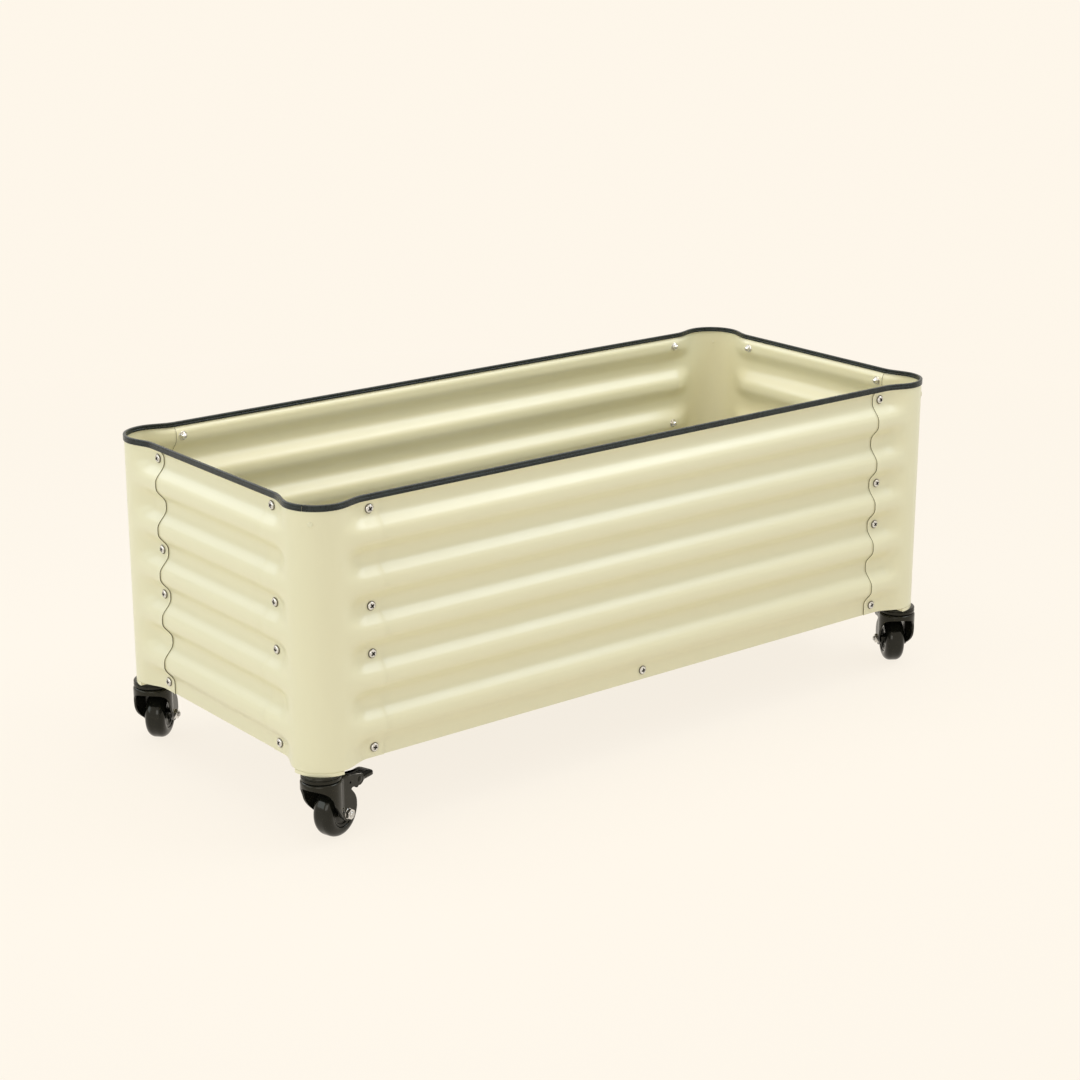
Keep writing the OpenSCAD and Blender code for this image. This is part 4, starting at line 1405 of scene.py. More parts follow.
@dataclass
class Base:
    """The corner brackets, stem nuts, rails, crossbar and trays that carry the tub.

    plate_slope is how much further in a bracket's edges along the walls lie on the underside of its
    plate, and ledge is how far the plate reaches in past the flanges.
    """

    tub: Tub
    plate: float = 6.0
    plate_step: float = 0.8
    plate_slope: float = 12.0
    plate_set_back: float = 1.5
    flange: float = 3.0
    rail: float = 2.0
    ledge: float = 30.0
    flange_height: float = 36.0
    flange_start: float = 60.0
    flange_end: float = 125.0
    stem_inset: float = 30.5
    stem: float = 12.0
    stem_nut: float = 19.0
    stem_nut_height: float = 10.0

    @property
    def rail_inner(self) -> float:
        """Inset of the rails' inner face, which the brackets' flanges lie against."""
        return self.tub.depth + 2 * self.tub.sheet + self.rail

    def plate_outline(self, inset: float, slope: float = 0.0) -> Array:
        """Plan of a bracket's plate, as insets from the outer faces.

        It follows the corner's arc, and starts under the flanges along the walls. Its free corner is
        cut off.

        Args:
            inset: How far the arc is drawn in.
            slope: How much further in the edges along the walls start.

        Returns:
            A closed line.
        """
        radius, end = self.tub.corner_radius, self.tub.corner_leg
        start = self.rail_inner + self.plate_set_back
        behind, far = start + slope, start + self.flange + self.ledge
        bend = arc((radius, radius), radius - inset, 270.0, 180.0, 28)
        hidden = filleted([(behind, radius, 0.0), (behind, end, 1.0), (far, end, 4.0), (end, far, 4.0),
                           (end, behind, 1.0), (radius, behind, 0.0)], 4)
        return np.concatenate([bend, hidden])

    def bracket(self, corner: Corner) -> Shape:
        """Bracket under a corner: a plate in the shape of the corner, and a flange up along each wall.

        The plate steps in just under the sheet, which leaves a fine groove between them.

        Args:
            corner: The corner that it carries.

        Returns:
            Three closed shapes in one.
        """
        low = self.tub.low
        high, step = low + self.flange_height, low - self.plate_step
        under, wide = self.plate_outline(0.0, self.plate_slope), self.plate_outline(0.0)
        slim = self.plate_outline(self.plate_step)
        plate = stacked([(under, low - self.plate), (wide, step), (slim, step), (slim, low)])
        start, end = self.flange_start, self.flange_end
        side = [(start, low, 0.0), (end, low, 0.0), (end, high, 7.0), (start, high, 7.0)]
        inner = self.rail_inner
        flange = prism(filleted(side, 5, closed=True), inner, inner + self.flange)
        flanges = [flange.moved(turn, np.zeros(3)) for turn in (STOOD, STOOD_ALONG_Y)]
        shape = joined([plate, *flanges])
        return Shape(corner.to_frame(self.tub, shape.points), shape.faces)

    def build(self) -> None:
        """Makes the brackets and the stem nuts, and dresses the rails, crossbar and trays."""
        nuts = []
        nut = hexagon_block(self.stem_nut, self.stem_nut_height, self.stem / 2 + CLEARANCE, both_ends=True)
        for k, corner in enumerate(Corner):
            node = f"corner_bracket_{corner.label}"
            Piece(f"{node}_plate", "planter", Finish.CREAM, (node,), bevel=0.5).make(self.bracket(corner))
            place = corner.to_frame(self.tub, np.array([self.stem_inset, self.stem_inset, self.tub.low]))
            spin = 0.3 + 0.9 * k
            nuts.append(nut.moved(axes_to(np.array([0.0, 0.0, 1.0]), spin), place))
        Piece("stem_hex_nuts", "planter", Finish.ZINC, ("stem_nuts",), crease=28.0).make(joined(nuts))
        rails = [f"{wall}_base_rail" for wall in ("front", "back", "left", "right")]
        for node in (*rails, "centre_crossbar", "left_base_tray", "right_base_tray"):
            dress(node, Finish.GALVANISED)
        dress("race_balls", Finish.BALLS)


# --------------------------------------------------------------------------------------------------
# Casters
# --------------------------------------------------------------------------------------------------


@dataclass
class CasterPlace:
    """Where a caster stands: its swivel axis and the direction in which it trails, read from its joints."""

    corner: Corner
    axis: Array = field(init=False)
    turn: Array = field(init=False)

    def __post_init__(self) -> None:
        """Reads the place from the frame's joints."""
        joints = {joint["name"]: joint for joint in frame["joints"]}
        swivel = joints[f"swivel_{self.corner.label}"]["pos_m"]
        left = np.array(joints[f"roll_{self.corner.label}"]["axis"])
        self.axis = np.array([swivel[0] / MM, swivel[1] / MM, 0.0])
        back = np.array([left[1], -left[0], 0.0])
        self.turn = np.stack([back, left, np.array([0.0, 0.0, 1.0])], axis=-1)

    def set(self, shape: Shape) -> Shape:
        """A shape drawn about the swivel axis, trailing along +X, moved to its place."""
        return shape.moved(self.turn, self.axis)


@dataclass
class Caster:
    """One braked swivel caster, drawn about its swivel axis on the floor, trailing along +X.

    bend_radius is the outer radius of the bend between the fork's wall and its crown, and
    crease_reach is how far the rounding of the crease between its round crown and its flat legs goes
    on either side.
    """

    place: CasterPlace
    nut_side: int
    wheel: float = 75.0
    tread: float = 32.0
    shoulder: float = 12.0
    hub: float = 44.0
    trail: float = 30.0
    crown_radius: float = 30.0
    crown_top: float = 96.0
    head_top: float = 107.0
    leg_out: float = 23.0
    sheet: float = 3.0
    axle: float = 8.0
    axle_width: float = 14.0
    stem: float = 12.0
    stem_top: float = 128.0
    bend_radius: float = 3.6
    crease_reach: float = 3.0
    ear: tuple[float, float] = (59.0, 79.5)
    pin: float = 5.0
    pedal_reach: float = 105.5
    pedal_width: float = 29.0
    pedal_sheet: float = 2.5

    @property
    def label(self) -> str:
        """The corner's name."""
        return self.place.corner.label

    @property
    def leg_in(self) -> float:
        """Inner face of a leg, from the middle."""
        return self.leg_out - self.sheet

    @property
    def cheek_out(self) -> float:
        """Outer face of the pedal's cheeks, from the middle."""
        return self.leg_in - 1.0

    @property
    def plate_top(self) -> float:
        """Height of the foot plate's upper face."""
        return self.ear[1] - 4.0

    @property
    def axle_bore(self) -> float:
        """Radius of the bores round the axle."""
        return self.axle / 2 + CLEARANCE

    def piece(self, part: str, made: str, body: str, finish: Finish, **more: float) -> Piece:
        """Piece that stands for one of this caster's nodes.

        Args:
            part: The node's name without the corner.
            made: The piece's own word.
            body: The kind of body that it rides on.
            finish: Its finish.
            **more: Crease, bevel or wall.

        Returns:
            The piece, not made yet.
        """
        owner = "planter" if body == "planter" else f"{body}_{self.label}"
        return Piece(f"{part}_{self.label}_{made}", owner, finish, (f"{part}_{self.label}",), **more)

    def across(self, shape: Shape, along: float, height: float) -> Shape:
        """A shape drawn along +Z, laid along the axle with its origin at a point of the side view."""
        return shape.moved(LAID, np.array([along, 0.0, height]))

    def on_axle(self, shape: Shape) -> Shape:
        """A shape drawn along +Z from the middle of the wheel, laid along the axle."""
        return self.across(shape, self.trail, self.wheel / 2)

    # ---- Head ----

    def head(self) -> Shape:
        """Swivel head: one profile from the kingpin's head up through the ball race to the stem.

        Returns:
            A closed shape once its doubles are merged.
        """
        r, pin, top = self.crown_radius - 1.0, self.stem / 2, self.head_top
        race, low = self.crown_top + 5.8, self.crown_top - self.sheet
        kingpin = [(0.0, low - 4.3, 0.0), (pin + 4.0, low - 4.3, 1.4), (pin + 4.0, low - 0.3, 0.6),
                   (pin, low - 0.3, 0.0), (pin, race, 0.0)]
        lower_cup = [(r - 2.2, race, 1.0), (r - 2.2, race - 4.5, 0.3), (r - 0.4, race - 4.5, 0.9),
                     (r, race - 2.6, 1.6), (r - 0.3, race + 0.2, 0.5), (r - 1.5, race + 0.7, 0.3)]
        upper_cup = [(r - 1.5, race + 1.2, 0.3), (r - 0.2, race + 1.6, 0.6), (r, race + 3.0, 1.5),
                     (r - 1.2, top, 1.2), (pin, top, 0.0)]
        body = filleted([*kingpin, *lower_cup, *upper_cup], 5)
        end = self.stem_top
        thread = thread_rings((pin, pin - 0.5), top + 1.0, end - 1.2, 0.875, 0.44)
        tip = np.array([[pin - 0.4, end - 0.8], [pin - 1.2, end], [0.0, end]])
        return turned(np.concatenate([body, thread, tip]), 72)

    # ---- Fork ----

    def bend_start(self) -> float:
        """Distance along the plan line from the crown's front to where the flat leg starts."""
        return self.crown_radius * math.acos(-self.leg_start() / self.crown_radius)

    def leg_start(self) -> float:
        """Distance behind the swivel axis where the flat leg starts."""
        return math.sqrt(self.crown_radius ** 2 - self.leg_out ** 2)

    def unrolled(self, along: Array) -> Array:
        """Distance along the plan line for a distance behind the swivel axis.

        Args:
            along: Distances behind the swivel axis.

        Returns:
            The distances along the plan line, from the crown's front.
        """
        along = np.asarray(along, float)
        on_crown = self.crown_radius * np.arccos(np.clip(-along / self.crown_radius, -1.0, 1.0))
        return np.where(along < self.leg_start(), on_crown, self.bend_start() + along - self.leg_start())

    def plan_point(self, u: Array) -> Array:
        """Points of the plan line: round the crown, then straight back, with the crease rounded.

        The rounding is the mean of nine points that lie evenly within the crease's reach.

        Args:
            u: Distances along the plan line.

        Returns:
            Array that ends in (x, y).
        """
        near = u[..., None] + np.linspace(-self.crease_reach, self.crease_reach, 9)
        v = np.abs(near)
        sign = np.where(near < 0, -1.0, 1.0)
        angle = np.minimum(v, self.bend_start()) / self.crown_radius
        x = -self.crown_radius * np.cos(angle) + np.maximum(v - self.bend_start(), 0.0)
        y = sign * np.where(v < self.bend_start(), self.crown_radius * np.sin(angle), self.leg_out)
        return np.stack([x.mean(-1), y.mean(-1)], axis=-1)

    def fork_outline(self) -> Array:
        """Side view of the fork's wall, unrolled.

        It runs along the arch over the wheel, round the axle's lobe, up the back, round the ear for the
        pedal, and along the top, where the sheet bends over into the crown.

        Returns:
            Closed line of (distance along the plan line, height of the sheet).
        """
        top, radius = self.crown_top, self.wheel / 2
        front, knee, back = (-self.crown_radius, top - 8.0), (-4.0, top - 36.0), (38.5, top - 25.0)
        toe = arc((self.trail + 3.0, radius + 6.5), 18.0, 218.0, 360.0, 24)
        arch = np.concatenate([bow(front, (-13.0, top - 12.0), knee, 12),
                               bow(knee, (3.0, top - 49.0), toe[0], 10)[1:-1]])
        rear = bow(toe[-1] + (0.0, 4.0), (toe[-1, 0], top - 36.0), back, 8)
        under = filleted([(*back, 0.0), (41.0, top - 22.5, 2.0), (50.0, top - 24.0, 2.0),
                          (self.ear[0] - 2.0, top - 26.0, 0.0)], 4)[1:-1]
        lug = arc(self.ear, 9.0, 276.0, 405.0, 16)
        over = filleted([(*lug[-1], 0.0), (52.0, top - 6.5, 4.0), (41.0, top - 4.6, 4.0),
                         (33.0, top - 3.2, 0.0)], 5)[1:]
        line = np.concatenate([arch, toe, rear, under, lug, over])
        line[:, 0] = self.unrolled(line[:, 0])
        u = np.linspace(self.brim_end(), 0.0, 44)
        ridge = np.column_stack([u, np.full_like(u, self.brim())])
        bend = self.bend_levels()[::-1][1:]
        front = np.column_stack([np.zeros_like(bend), bend])
        return np.concatenate([line, ridge, front])

    def brim(self) -> float:
        """Unrolled height at which the bend ends in the flat crown."""
        return self.crown_top - self.bend_radius + self.bend_radius * math.pi / 2

    def brim_end(self) -> float:
        """Distance along the plan line at which the bend ends, just behind the crown."""
        return float(self.unrolled(31.0))

    def bend_levels(self) -> Array:
        """Unrolled heights through the bend, a sixth of it apart."""
        quarter = math.pi / 2 * np.linspace(0.0, 1.0, 7)
        return self.crown_top - self.bend_radius + self.bend_radius * quarter

    def bend_rows(self) -> Array:
        """Points of the unrolled sheet inside the bend, in rows along it, so that the bend comes out round.

        Returns:
            Array of points x 2.
        """
        u, v = np.meshgrid(np.linspace(self.brim_end() - 1.0, 1.5, 42), self.bend_levels()[:-1])
        return np.column_stack([u.ravel(), v.ravel()])

    def rolled(self, flat: Array) -> Array:
        """Unrolled sheet to its place: up the wall, then a quarter turn inwards at the top.

        Args:
            flat: Array of (distance along the plan line, height of the sheet).

        Returns:
            Array of points x 3.
        """
        u, v = flat[:, 0], flat[:, 1]
        start = self.crown_top - self.bend_radius
        turn = np.clip((v - start) / self.bend_radius, 0.0, math.pi / 2)
        inset = self.bend_radius * (1 - np.cos(turn))
        height = np.where(v < start, v, start + self.bend_radius * np.sin(turn))
        here = self.plan_point(u)
        ahead = self.plan_point(u + 0.05) - self.plan_point(u - 0.05)
        ahead /= np.linalg.norm(ahead, axis=1, keepdims=True)
        inward = np.stack([ahead[:, 1], -ahead[:, 0]], axis=-1)
        return np.column_stack([here + inward * inset[:, None], height])

    @staticmethod
    def filled(outline: Array, holes: list[Array], step: float, rows: Array
               ) -> tuple[Array, list[list[int]]]:
        """Triangles that fill an outline, with points inside it on a grid.

        A triangle is left out where its middle lies inside a hole, which is round.

        Args:
            outline: Closed line.
            holes: Closed lines that stay open.
            step: Distance of the grid's points.
            rows: Points inside the outline that are kept as they are.

        Returns:
            The points and the triangles.
        """
        loops = [outline, *holes]
        edges, count = [], 0
        for loop in loops:
            k = np.arange(len(loop))
            edges.extend(np.stack([k + count, (k + 1) % len(loop) + count], axis=-1).tolist())
            count += len(loop)
        low, high = outline.min(0) + step, outline.max(0)
        xs, ys = np.meshgrid(np.arange(low[0], high[0], step), np.arange(low[1], high[1], step))
        grid = np.stack([xs.ravel(), ys.ravel()], axis=-1)
        fixed = np.concatenate([*loops, rows])
        clear = np.min(np.linalg.norm(grid[:, None] - fixed[None], axis=-1), axis=1) > step * 0.6
        points = np.concatenate([fixed, grid[clear]])
        made = delaunay_2d_cdt([Vector(p) for p in points.tolist()], edges, [], 1, 1e-4)
        verts = np.array([tuple(v) for v in made[0]])
        faces = np.array([list(f) for f in made[2]])
        middle = verts[faces].mean(1)
        keep = np.ones(len(faces), bool)
        for hole in holes:
            centre = hole.mean(0)
            keep &= np.linalg.norm(middle - centre, axis=1) > np.linalg.norm(hole[0] - centre) * 0.98
        used, place = np.unique(faces[keep], return_inverse=True)
        return verts[used], place.reshape(-1, 3).tolist()

    def fork(self) -> Shape:
        """The fork as one bent sheet: both walls from one unrolled outline, and the flat crown over them.

        Returns:
            An open sheet, on the outer face of the metal.
        """
        outline = self.fork_outline()
        axle_hole = (self.trail, self.wheel / 2, self.axle_bore)
        pin_hole = (*self.ear, self.pin / 2 + CLEARANCE)
        small_hole = (37.0, self.crown_top - 14.0, 2.0)
        holes = []
        for along, height, radius in (axle_hole, pin_hole, small_hole):
            holes.append(arc((float(self.unrolled(along)), height), radius, 0.0, 345.0, 23))
        flat, faces = self.filled(outline, holes, 2.4, self.bend_rows())
        wall = Shape(self.rolled(flat), faces)
        other = Shape(wall.points * np.array([1.0, -1.0, 1.0]), faces)
        rim = self.rolled(outline[outline[:, 1] > self.brim() - 1e-6])
        stem_hole = arc((0.0, 0.0), self.stem / 2 + CLEARANCE, 0.0, 350.0, 35)
        crown, crown_faces = self.filled(mirrored(rim[:, :2]), [stem_hole], 4.0, np.empty((0, 2)))
        lid = Shape(np.column_stack([crown, np.full(len(crown), self.crown_top)]), crown_faces)
        return joined([wall, other, lid])

    # ---- Wheel ----

    def tyre(self) -> Shape:
        """Tyre: round shoulders, a narrow flat tread, and a lip that steps down to the hub.

        Returns:
            A closed shape once its doubles are merged, in its place.
        """
        r, half, hub = self.wheel / 2, self.tread / 2, self.hub / 2
        side = r - self.shoulder
        lip = filleted([(hub, half - 1.6, 0.0), (hub + 0.8, half - 0.4, 0.8), (side, half, 2.0)], 6)
        bend = arc((side, half - self.shoulder), self.shoulder, 90.0, 0.0, 18)
        half_line = np.concatenate([lip[:-1], bend, [[r, 0.0]]])
        return self.on_axle(turned(looped(mirrored(half_line)), 96))

    def wheel_hub(self) -> Shape:
        """Hub: a dished disc with a raised ring beside the tyre and a boss that reaches the legs.

        Returns:
            A closed shape once its doubles are merged, in its place.
        """
        rim, half, boss, reach = self.hub / 2, self.tread / 2, self.axle / 2 + 4.0, self.leg_in - 0.3
        half_line = filleted([
            (self.axle_bore, reach, 0.3), (boss, reach, 0.6), (boss + 0.6, half - 3.5, 1.5),
            (rim - 5.5, half - 4.6, 2.0), (rim - 3.6, half - 2.0, 1.2), (rim - 0.6, half - 1.7, 0.6),
            (rim, half - 3.0, 0.4), (rim, 0.0, 0.0)], 5)
        return self.on_axle(turned(looped(mirrored(half_line)), 80))

    # ---- Axle ----

    def axle_bolt(self) -> Shape:
        """Axle bolt: a hexagon head on one leg, and a shank whose threaded end stands out past the nut.

        Returns:
            Two closed shapes in one, in their place.
        """
        r, leg, tail = self.axle / 2, self.leg_out, self.leg_out + 9.0
        thread = thread_rings((r - 0.35, r), leg + 5.4, tail - 1.0, 0.9, 0.45)
        tip = [[r - 0.3, tail - 0.6], [r - 0.9, tail], [0.0, tail]]
        line = np.concatenate([[[0.0, -leg], [r, -leg]], thread, tip])
        head = hexagon_block(self.axle_width, 5.3, 0.0).moved(UPSIDE_DOWN, np.array([0.0, 0.0, -leg]))
        return self.on_axle(self.to_nut_side(joined([turned(line, 40), head])))

    def axle_nut(self) -> Shape:
        """Axle nut with its turned washer face, on the leg opposite the bolt's head.

        Returns:
            Two closed shapes in one, in their place.
        """
        bore, rim = self.axle_bore, self.axle_width / 2 + 0.9
        low, high = self.leg_out, self.leg_out + 0.9
        nut = hexagon_block(self.axle_width, 5.6, bore).lifted(high)
        corners = [(bore, low, 0.0), (rim, low, 0.2), (rim, high, 0.4), (bore, high, 0.0)]
        face = turned(looped(filleted(corners, 3, closed=True)), 56)
        return self.on_axle(self.to_nut_side(joined([nut, face])))

    def to_nut_side(self, shape: Shape) -> Shape:
        """A shape whose +Z points to the nut, turned so that it does so once it is laid along the axle."""
        return shape if self.nut_side > 0 else shape.moved(UPSIDE_DOWN, np.zeros(3))

    # ---- Brake ----

    def pedal_loop(self, inset: float) -> Array:
        """Plan of the pedal, wide between the ears and narrow at the tip, drawn in by an inset.

        The rounded outline is moved inwards along its normals, which come from each point's neighbours.

        Args:
            inset: How far it is drawn in.

        Returns:
            A closed line.
        """
        wide, slim, tip, back = self.cheek_out, self.pedal_width / 2, self.pedal_reach, self.ear[0] + 5.0
        neck, waist = back + 7.0, back + 15.5
        line = filleted([(back, -wide, 1.5), (neck, -wide, 4.0), (waist, -slim, 5.0), (tip, -slim, 7.5),
                         (tip, slim, 7.5), (waist, slim, 5.0), (neck, wide, 4.0), (back, wide, 1.5)],
                        6, closed=True)
        ahead = np.roll(line, -1, axis=0) - np.roll(line, 1, axis=0)
        ahead /= np.linalg.norm(ahead, axis=1, keepdims=True)
        return line + np.stack([-ahead[:, 1], ahead[:, 0]], axis=-1) * inset

    def pedal_plate(self) -> Shape:
        """Foot plate: a pressed pan with its rim turned down, and two grip ribs near the tip.

        The rings, (inset, height over the plate's top), go from the rim's lower edge outside over the
        plate, and then back under it to the rim's lower edge inside.

        Returns:
            The pan and the ribs, closed shapes in one.
        """
        top, drop, t = self.plate_top, 6.0, self.pedal_sheet
        over = [(0.0, -drop + 0.4), (0.0, -2.4), (0.35, -1.1), (1.1, -0.35), (2.4, 0.0), (5.0, 0.0),
                (6.2, 0.45), (8.0, 0.6)]
        under = [(8.0, 0.6 - t), (6.2, 0.45 - t), (5.0, -t), (t + 1.2, -t), (t, -t - 1.2),
                 (t, -drop + 0.4), (t - 0.4, -drop), (0.4, -drop)]
        rings = []
        for inset, rise in over + under:
            loop = self.pedal_loop(inset)
            rings.append(np.column_stack([loop, np.full(len(loop), top + rise)]))
        count = len(rings[0])
        halves = rings[:len(over)], rings[len(over):]
        shell = joined([grid_shape(np.stack(half), closed_columns=True) for half in halves])
        upper, lower = (len(over) - 1) * count, len(over) * count
        lids = [list(range(upper, upper + count)), list(range(lower, lower + count))]
        last = (len(rings) - 1) * count
        edge = [[k, (k + 1) % count, last + (k + 1) % count, last + k] for k in range(count)]
        return joined([Shape(shell.points, shell.faces + lids + edge), *self.pedal_ribs()])

    def pedal_ribs(self) -> list[Shape]:
        """The two grip ribs, raised across the foot plate.

        Returns:
            Two closed shapes.
        """
        half, reach, top = 1.2, self.pedal_width / 2 - 10.0, self.plate_top
        ribs = []
        for along in (self.pedal_reach - 14.0, self.pedal_reach - 19.5):
            front, back = along - half, along + half
            rib = [(front, -reach, 1.1), (back, -reach, 1.1), (back, reach, 1.1), (front, reach, 1.1)]
            ribs.append(prism(filleted(rib, 4, closed=True), top - 0.5, top + 1.2))
        return ribs

    def pedal_cheeks(self) -> Shape:
        """The pedal's two cheeks round its pin, and the round brake shoe between their lower ends.

        Returns:
            Three closed shapes in one.
        """
        ear, top, reach = np.array(self.ear), self.plate_top, self.cheek_out
        to_axle = np.array([self.trail, self.wheel / 2]) - ear
        cam_reach = np.linalg.norm(to_axle) - self.wheel / 2 - 0.3
        angle = math.atan2(to_axle[1], to_axle[0]) + math.radians(25.0)
        cam = ear + (cam_reach - 4.0) * np.array([math.cos(angle), math.sin(angle)])
        neck = filleted([(65.0, top - 6.0, 0.0), (71.0, top - 6.0, 1.5), (72.0, top - 1.5, 1.5)], 4)
        round_pin, round_cam = arc(self.ear, 6.5, 20.0, 190.0, 16), arc(tuple(cam), 4.0, 190.0, 330.0, 10)
        plate = prism(np.concatenate([round_pin, round_cam, neck]), 0.0, self.pedal_sheet)
        cheeks = [plate.moved(STOOD, np.array([0.0, y, 0.0])) for y in (-reach, reach - self.pedal_sheet)]
        roll = filleted([(0.0, -reach, 0.0), (3.5, -reach, 0.4), (3.5, reach, 0.4), (0.0, reach, 0.0)], 3)
        return joined([*cheeks, self.across(turned(roll, 40), *cam)])

    def pedal_pin(self) -> Shape:
        """Pedal pin: a rod through the ears with a domed rivet head on each end.

        Returns:
            A closed shape once its doubles are merged, in its place.
        """
        r, out, end = self.pin / 2, self.leg_out, self.leg_out + 1.5
        half_line = filleted([(r, 0.0, 0.0), (r, out, 0.0), (r + 1.8, out, 0.2), (r + 1.7, out + 0.5, 0.4),
                              (r - 0.6, end, 1.2), (0.0, end, 0.0)], 5)
        return self.across(turned(mirrored(half_line[::-1])[::-1], 40), *self.ear)

    def build(self) -> None:
        """Makes the caster's eight pieces."""
        enamel, place = Finish.ENAMEL, self.place.set
        self.piece("swivel_head", "disc", "planter", enamel).make(place(self.head()))
        fork = self.piece("fork", "sheet", "caster", enamel, crease=45.0, bevel=0.45, wall=self.sheet)
        self.solidify_inwards(fork.make(place(self.fork())))
        self.piece("axle_bolt", "hexagon", "caster", Finish.ZINC, crease=28.0).make(place(self.axle_bolt()))
        self.piece("axle_nut", "hexagon", "caster", Finish.BRIGHT, crease=28.0).make(place(self.axle_nut()))
        self.piece("wheel_hub", "disc", "wheel", Finish.HUB).make(place(self.wheel_hub()))
        self.piece("tyre", "tread", "wheel", Finish.TREAD).make(place(self.tyre()))
        self.piece("pedal_pin", "rivet", "caster", enamel).make(place(self.pedal_pin()))
        pedal = joined([self.pedal_plate(), self.pedal_cheeks()])
        self.piece("brake_pedal", "plate", "pedal", enamel, bevel=0.3, crease=50.0).make(place(pedal))

    @staticmethod
    def solidify_inwards(piece: bpy.types.Object) -> None:
        """Turns an open sheet's faces so that its crown points up, which puts the wall's thickness inside.

        Args:
            piece: The sheet.
        """
        mesh = piece.data
        heights = np.array([face.center.z for face in mesh.polygons])
        upward = np.array([face.normal.z for face in mesh.polygons])
        if upward[heights > heights.max() - MM / 10].mean() < 0:
            mesh.flip_normals()


# --------------------------------------------------------------------------------------------------
# Studio
# --------------------------------------------------------------------------------------------------


@dataclass(frozen=True)
class Lamp:
    """Rectangular area lamp that looks at a point. Lengths are in metres and the power is in watts."""

    name: str
    place: Triple
    target: Triple
    size: tuple[float, float]
    power: float
    colour: Triple

    def build(self) -> None:
        """Hangs the lamp."""
        data = bpy.data.lights.new(self.name, "AREA")
        data.shape = "RECTANGLE"
        data.size, data.size_y = self.size
        data.energy, data.color = self.power, self.colour
        lamp = bpy.data.objects.new(self.name, data)
        bpy.context.scene.collection.objects.link(lamp)
        lamp.location = self.place
        lamp.rotation_mode = "QUATERNION"
        lamp.rotation_quaternion = (Vector(self.target) - Vector(self.place)).to_track_quat("-Z", "Y")


LAMPS = (
    Lamp("softbox_top", (0.0, 0.0, 3.0), (0.0, 0.0, 0.2), (3.0, 2.4), 45.0, (0.93, 0.96, 1.0)),
    Lamp("softbox_right", (1.8, -1.3, 2.6), (0.0, 0.0, 0.3), (2.3, 0.9), 35.0, (0.74, 0.85, 1.0)),
    Lamp("softbox_back", (-1.3, 2.4, 2.1), (-0.3, 0.0, 0.3), (2.0, 1.6), 24.0, (0.74, 0.85, 1.0)),
    Lamp("softbox_front", (-2.6, -2.2, 1.4), (0.0, 0.0, 0.3), (1.8, 1.2), 17.5, (0.93, 0.96, 1.0)),
    Lamp("softbox_left", (-3.0, 0.5, 1.4), (-0.3, 0.0, 0.3), (1.8, 1.2), 14.5, (0.78, 0.91, 1.0)),
    Lamp("bounce_inside", (-0.35, -0.12, 1.35), (0.4, 0.25, 0.35), (0.9, 0.5), 3.1, (1.0, 0.80, 0.50)),
)


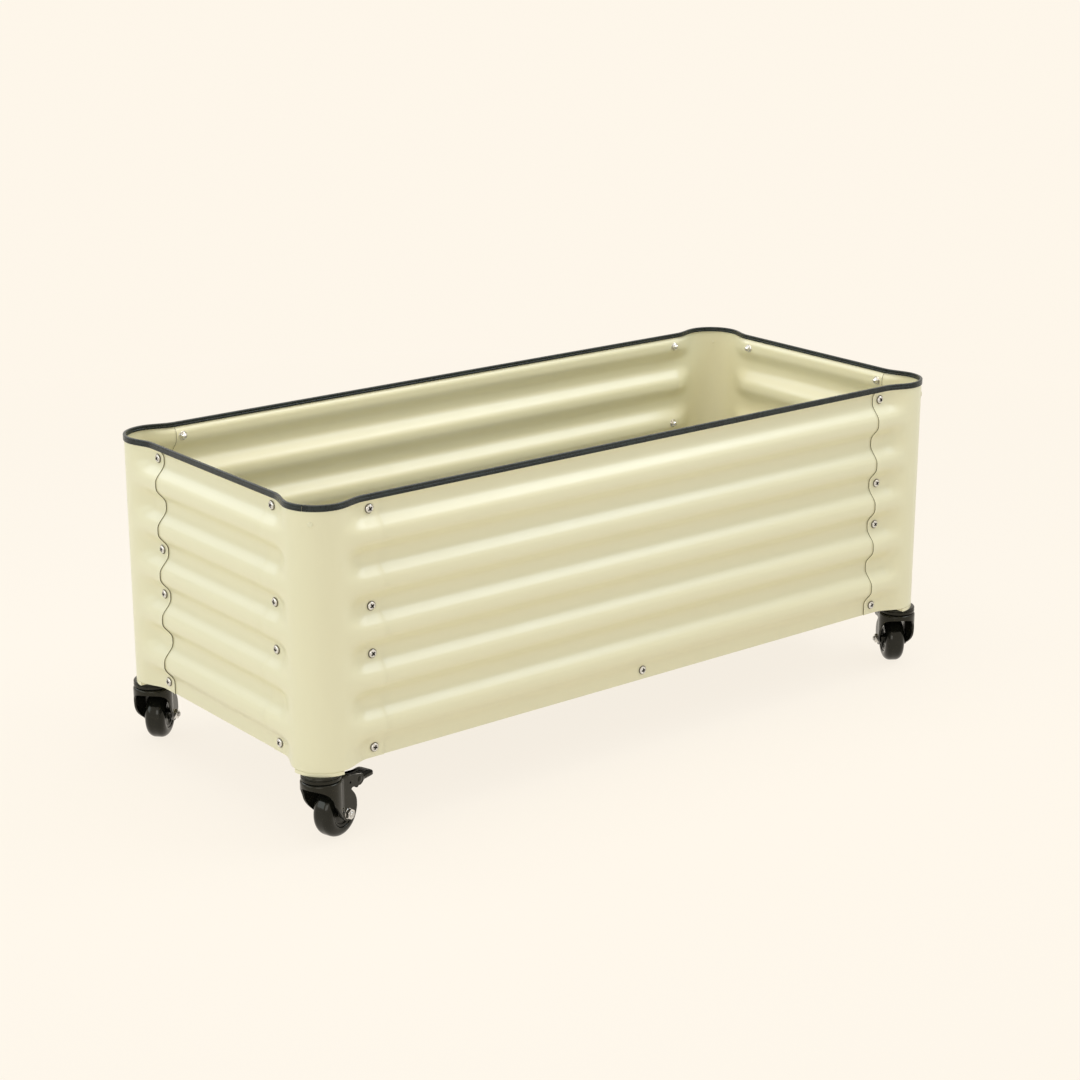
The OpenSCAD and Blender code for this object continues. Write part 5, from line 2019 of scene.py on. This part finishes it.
@dataclass
class Studio:
    """Camera, floor and world, and the lamps.

    The share of the floor's colour that shines by itself is glow up to the distance near from its
    middle, and 1 from the distance far on, in metres. fill is the strength of the light from all round.
    """

    backdrop: Colour = (0.991, 0.925, 0.823, 1.0)
    azimuth: float = -38.39
    elevation: float = 17.26
    place: Triple = (-2.2372, -2.8211, 1.3943)
    focal_px: float = 2365.7
    frame_px: float = 1080.0
    sensor: float = 36.0
    clip: tuple[float, float] = (0.05, 200.0)
    floor_half: float = 45.0
    near: float = 0.9
    far: float = 2.6
    glow: float = 0.892
    fill: float = 0.50
    fill_colour: Colour = (1.0, 0.985, 0.96, 1.0)
    floor_paleness: float = 0.9

    def camera(self) -> None:
        """Camera at the photograph's place, angle and focal length."""
        a, e = math.radians(self.azimuth), math.radians(self.elevation)
        back = Vector((math.sin(a) * math.cos(e), -math.cos(a) * math.cos(e), math.sin(e)))
        right = Vector((math.cos(a), math.sin(a), 0.0))
        up = back.cross(right)
        data = bpy.data.cameras.new("camera")
        data.sensor_width = self.sensor
        data.lens = self.sensor * self.focal_px / self.frame_px
        data.clip_start, data.clip_end = self.clip
        camera = bpy.data.objects.new("camera", data)
        bpy.context.scene.collection.objects.link(camera)
        turn = Matrix((right, up, back)).transposed().to_4x4()
        camera.matrix_world = Matrix.Translation(self.place) @ turn
        bpy.context.scene.camera = camera

    @staticmethod
    def shown_rays(tree: bpy.types.NodeTree) -> bpy.types.NodeSocket:
        """Which rays show the backdrop: those from the camera, from a mirror or through glass.

        Args:
            tree: The node tree that needs it.

        Returns:
            A socket with 1 for those rays, and 0 for the rays that light things.
        """
        rays = tree.nodes.new("ShaderNodeLightPath")
        total = rays.outputs["Is Camera Ray"]
        for name in ("Is Glossy Ray", "Is Transmission Ray"):
            either = tree.nodes.new("ShaderNodeMath")
            either.operation = "MAXIMUM"
            tree.links.new(total, either.inputs[0])
            tree.links.new(rays.outputs[name], either.inputs[1])
            total = either.outputs[0]
        return total

    def floor_paint(self) -> bpy.types.Material:
        """Pale paint, most of which shines to the camera and to mirrors so that it reads as the backdrop.

        The share that shines by itself grows with the distance from the middle, up to the whole of it.

        Returns:
            The material.
        """
        material = bpy.data.materials.new("floor_paint")
        material.use_nodes = True
        tree = material.node_tree
        tree.nodes.clear()
        out = tree.nodes.new("ShaderNodeOutputMaterial")
        diffuse = tree.nodes.new("ShaderNodeBsdfDiffuse")
        diffuse.inputs["Color"].default_value = shade(self.backdrop, self.floor_paleness)
        glow = tree.nodes.new("ShaderNodeEmission")
        glow.inputs["Color"].default_value = self.backdrop
        place = tree.nodes.new("ShaderNodeTexCoord")
        away = tree.nodes.new("ShaderNodeVectorMath")
        away.operation = "LENGTH"
        tree.links.new(place.outputs["Object"], away.inputs[0])
        grows = tree.nodes.new("ShaderNodeMapRange")
        spans = {"From Min": self.near, "From Max": self.far, "To Min": self.glow, "To Max": 1.0}
        for name, value in spans.items():
            grows.inputs[name].default_value = value
        tree.links.new(away.outputs["Value"], grows.inputs["Value"])
        share = tree.nodes.new("ShaderNodeMath")
        share.operation = "MULTIPLY"
        tree.links.new(grows.outputs["Result"], share.inputs[1])
        tree.links.new(self.shown_rays(tree), share.inputs[0])
        mix = tree.nodes.new("ShaderNodeMixShader")
        tree.links.new(share.outputs[0], mix.inputs["Fac"])
        tree.links.new(diffuse.outputs[0], mix.inputs[1])
        tree.links.new(glow.outputs[0], mix.inputs[2])
        tree.links.new(mix.outputs[0], out.inputs["Surface"])
        return material

    def floor(self) -> None:
        """Large pale floor under the wheels."""
        half = self.floor_half
        mesh = bpy.data.meshes.new("studio_floor")
        corners = [(-half, -half, 0.0), (half, -half, 0.0), (half, half, 0.0), (-half, half, 0.0)]
        mesh.from_pydata(corners, [], [(0, 1, 2, 3)])
        mesh.materials.append(self.floor_paint())
        floor = bpy.data.objects.new("studio_floor", mesh)
        bpy.context.scene.collection.objects.link(floor)

    def world(self) -> None:
        """World: the backdrop's colour to the camera and to mirrors, and a softer fill for the rest."""
        world = bpy.data.worlds.new("studio")
        bpy.context.scene.world = world
        world.use_nodes = True
        tree = world.node_tree
        tree.nodes.clear()
        out = tree.nodes.new("ShaderNodeOutputWorld")
        seen, fill = tree.nodes.new("ShaderNodeBackground"), tree.nodes.new("ShaderNodeBackground")
        seen.inputs["Color"].default_value = self.backdrop
        fill.inputs["Color"].default_value = self.fill_colour
        fill.inputs["Strength"].default_value = self.fill
        mix = tree.nodes.new("ShaderNodeMixShader")
        tree.links.new(self.shown_rays(tree), mix.inputs["Fac"])
        tree.links.new(fill.outputs[0], mix.inputs[1])
        tree.links.new(seen.outputs[0], mix.inputs[2])
        tree.links.new(mix.outputs[0], out.inputs["Surface"])

    def build(self) -> None:
        """Makes the whole studio."""
        scene = bpy.context.scene
        scene.view_settings.view_transform = "Standard"
        self.camera()
        self.world()
        self.floor()
        for lamp in LAMPS:
            lamp.build()


def main() -> None:
    """Builds the planter and the studio."""
    logging.basicConfig(level=logging.INFO, format="%(name)s %(message)s")
    tub = Tub()
    tub.build()
    RimTrim(tub).build()
    PanelFasteners(tub).build()
    Base(tub).build()
    nut_sides = {Corner.FRONT_LEFT: -1, Corner.BACK_LEFT: -1, Corner.FRONT_RIGHT: 1, Corner.BACK_RIGHT: 1}
    for corner, nut_side in nut_sides.items():
        Caster(CasterPlace(corner), nut_side).build()
    Studio().build()


if __name__ == "__main__":
    main()
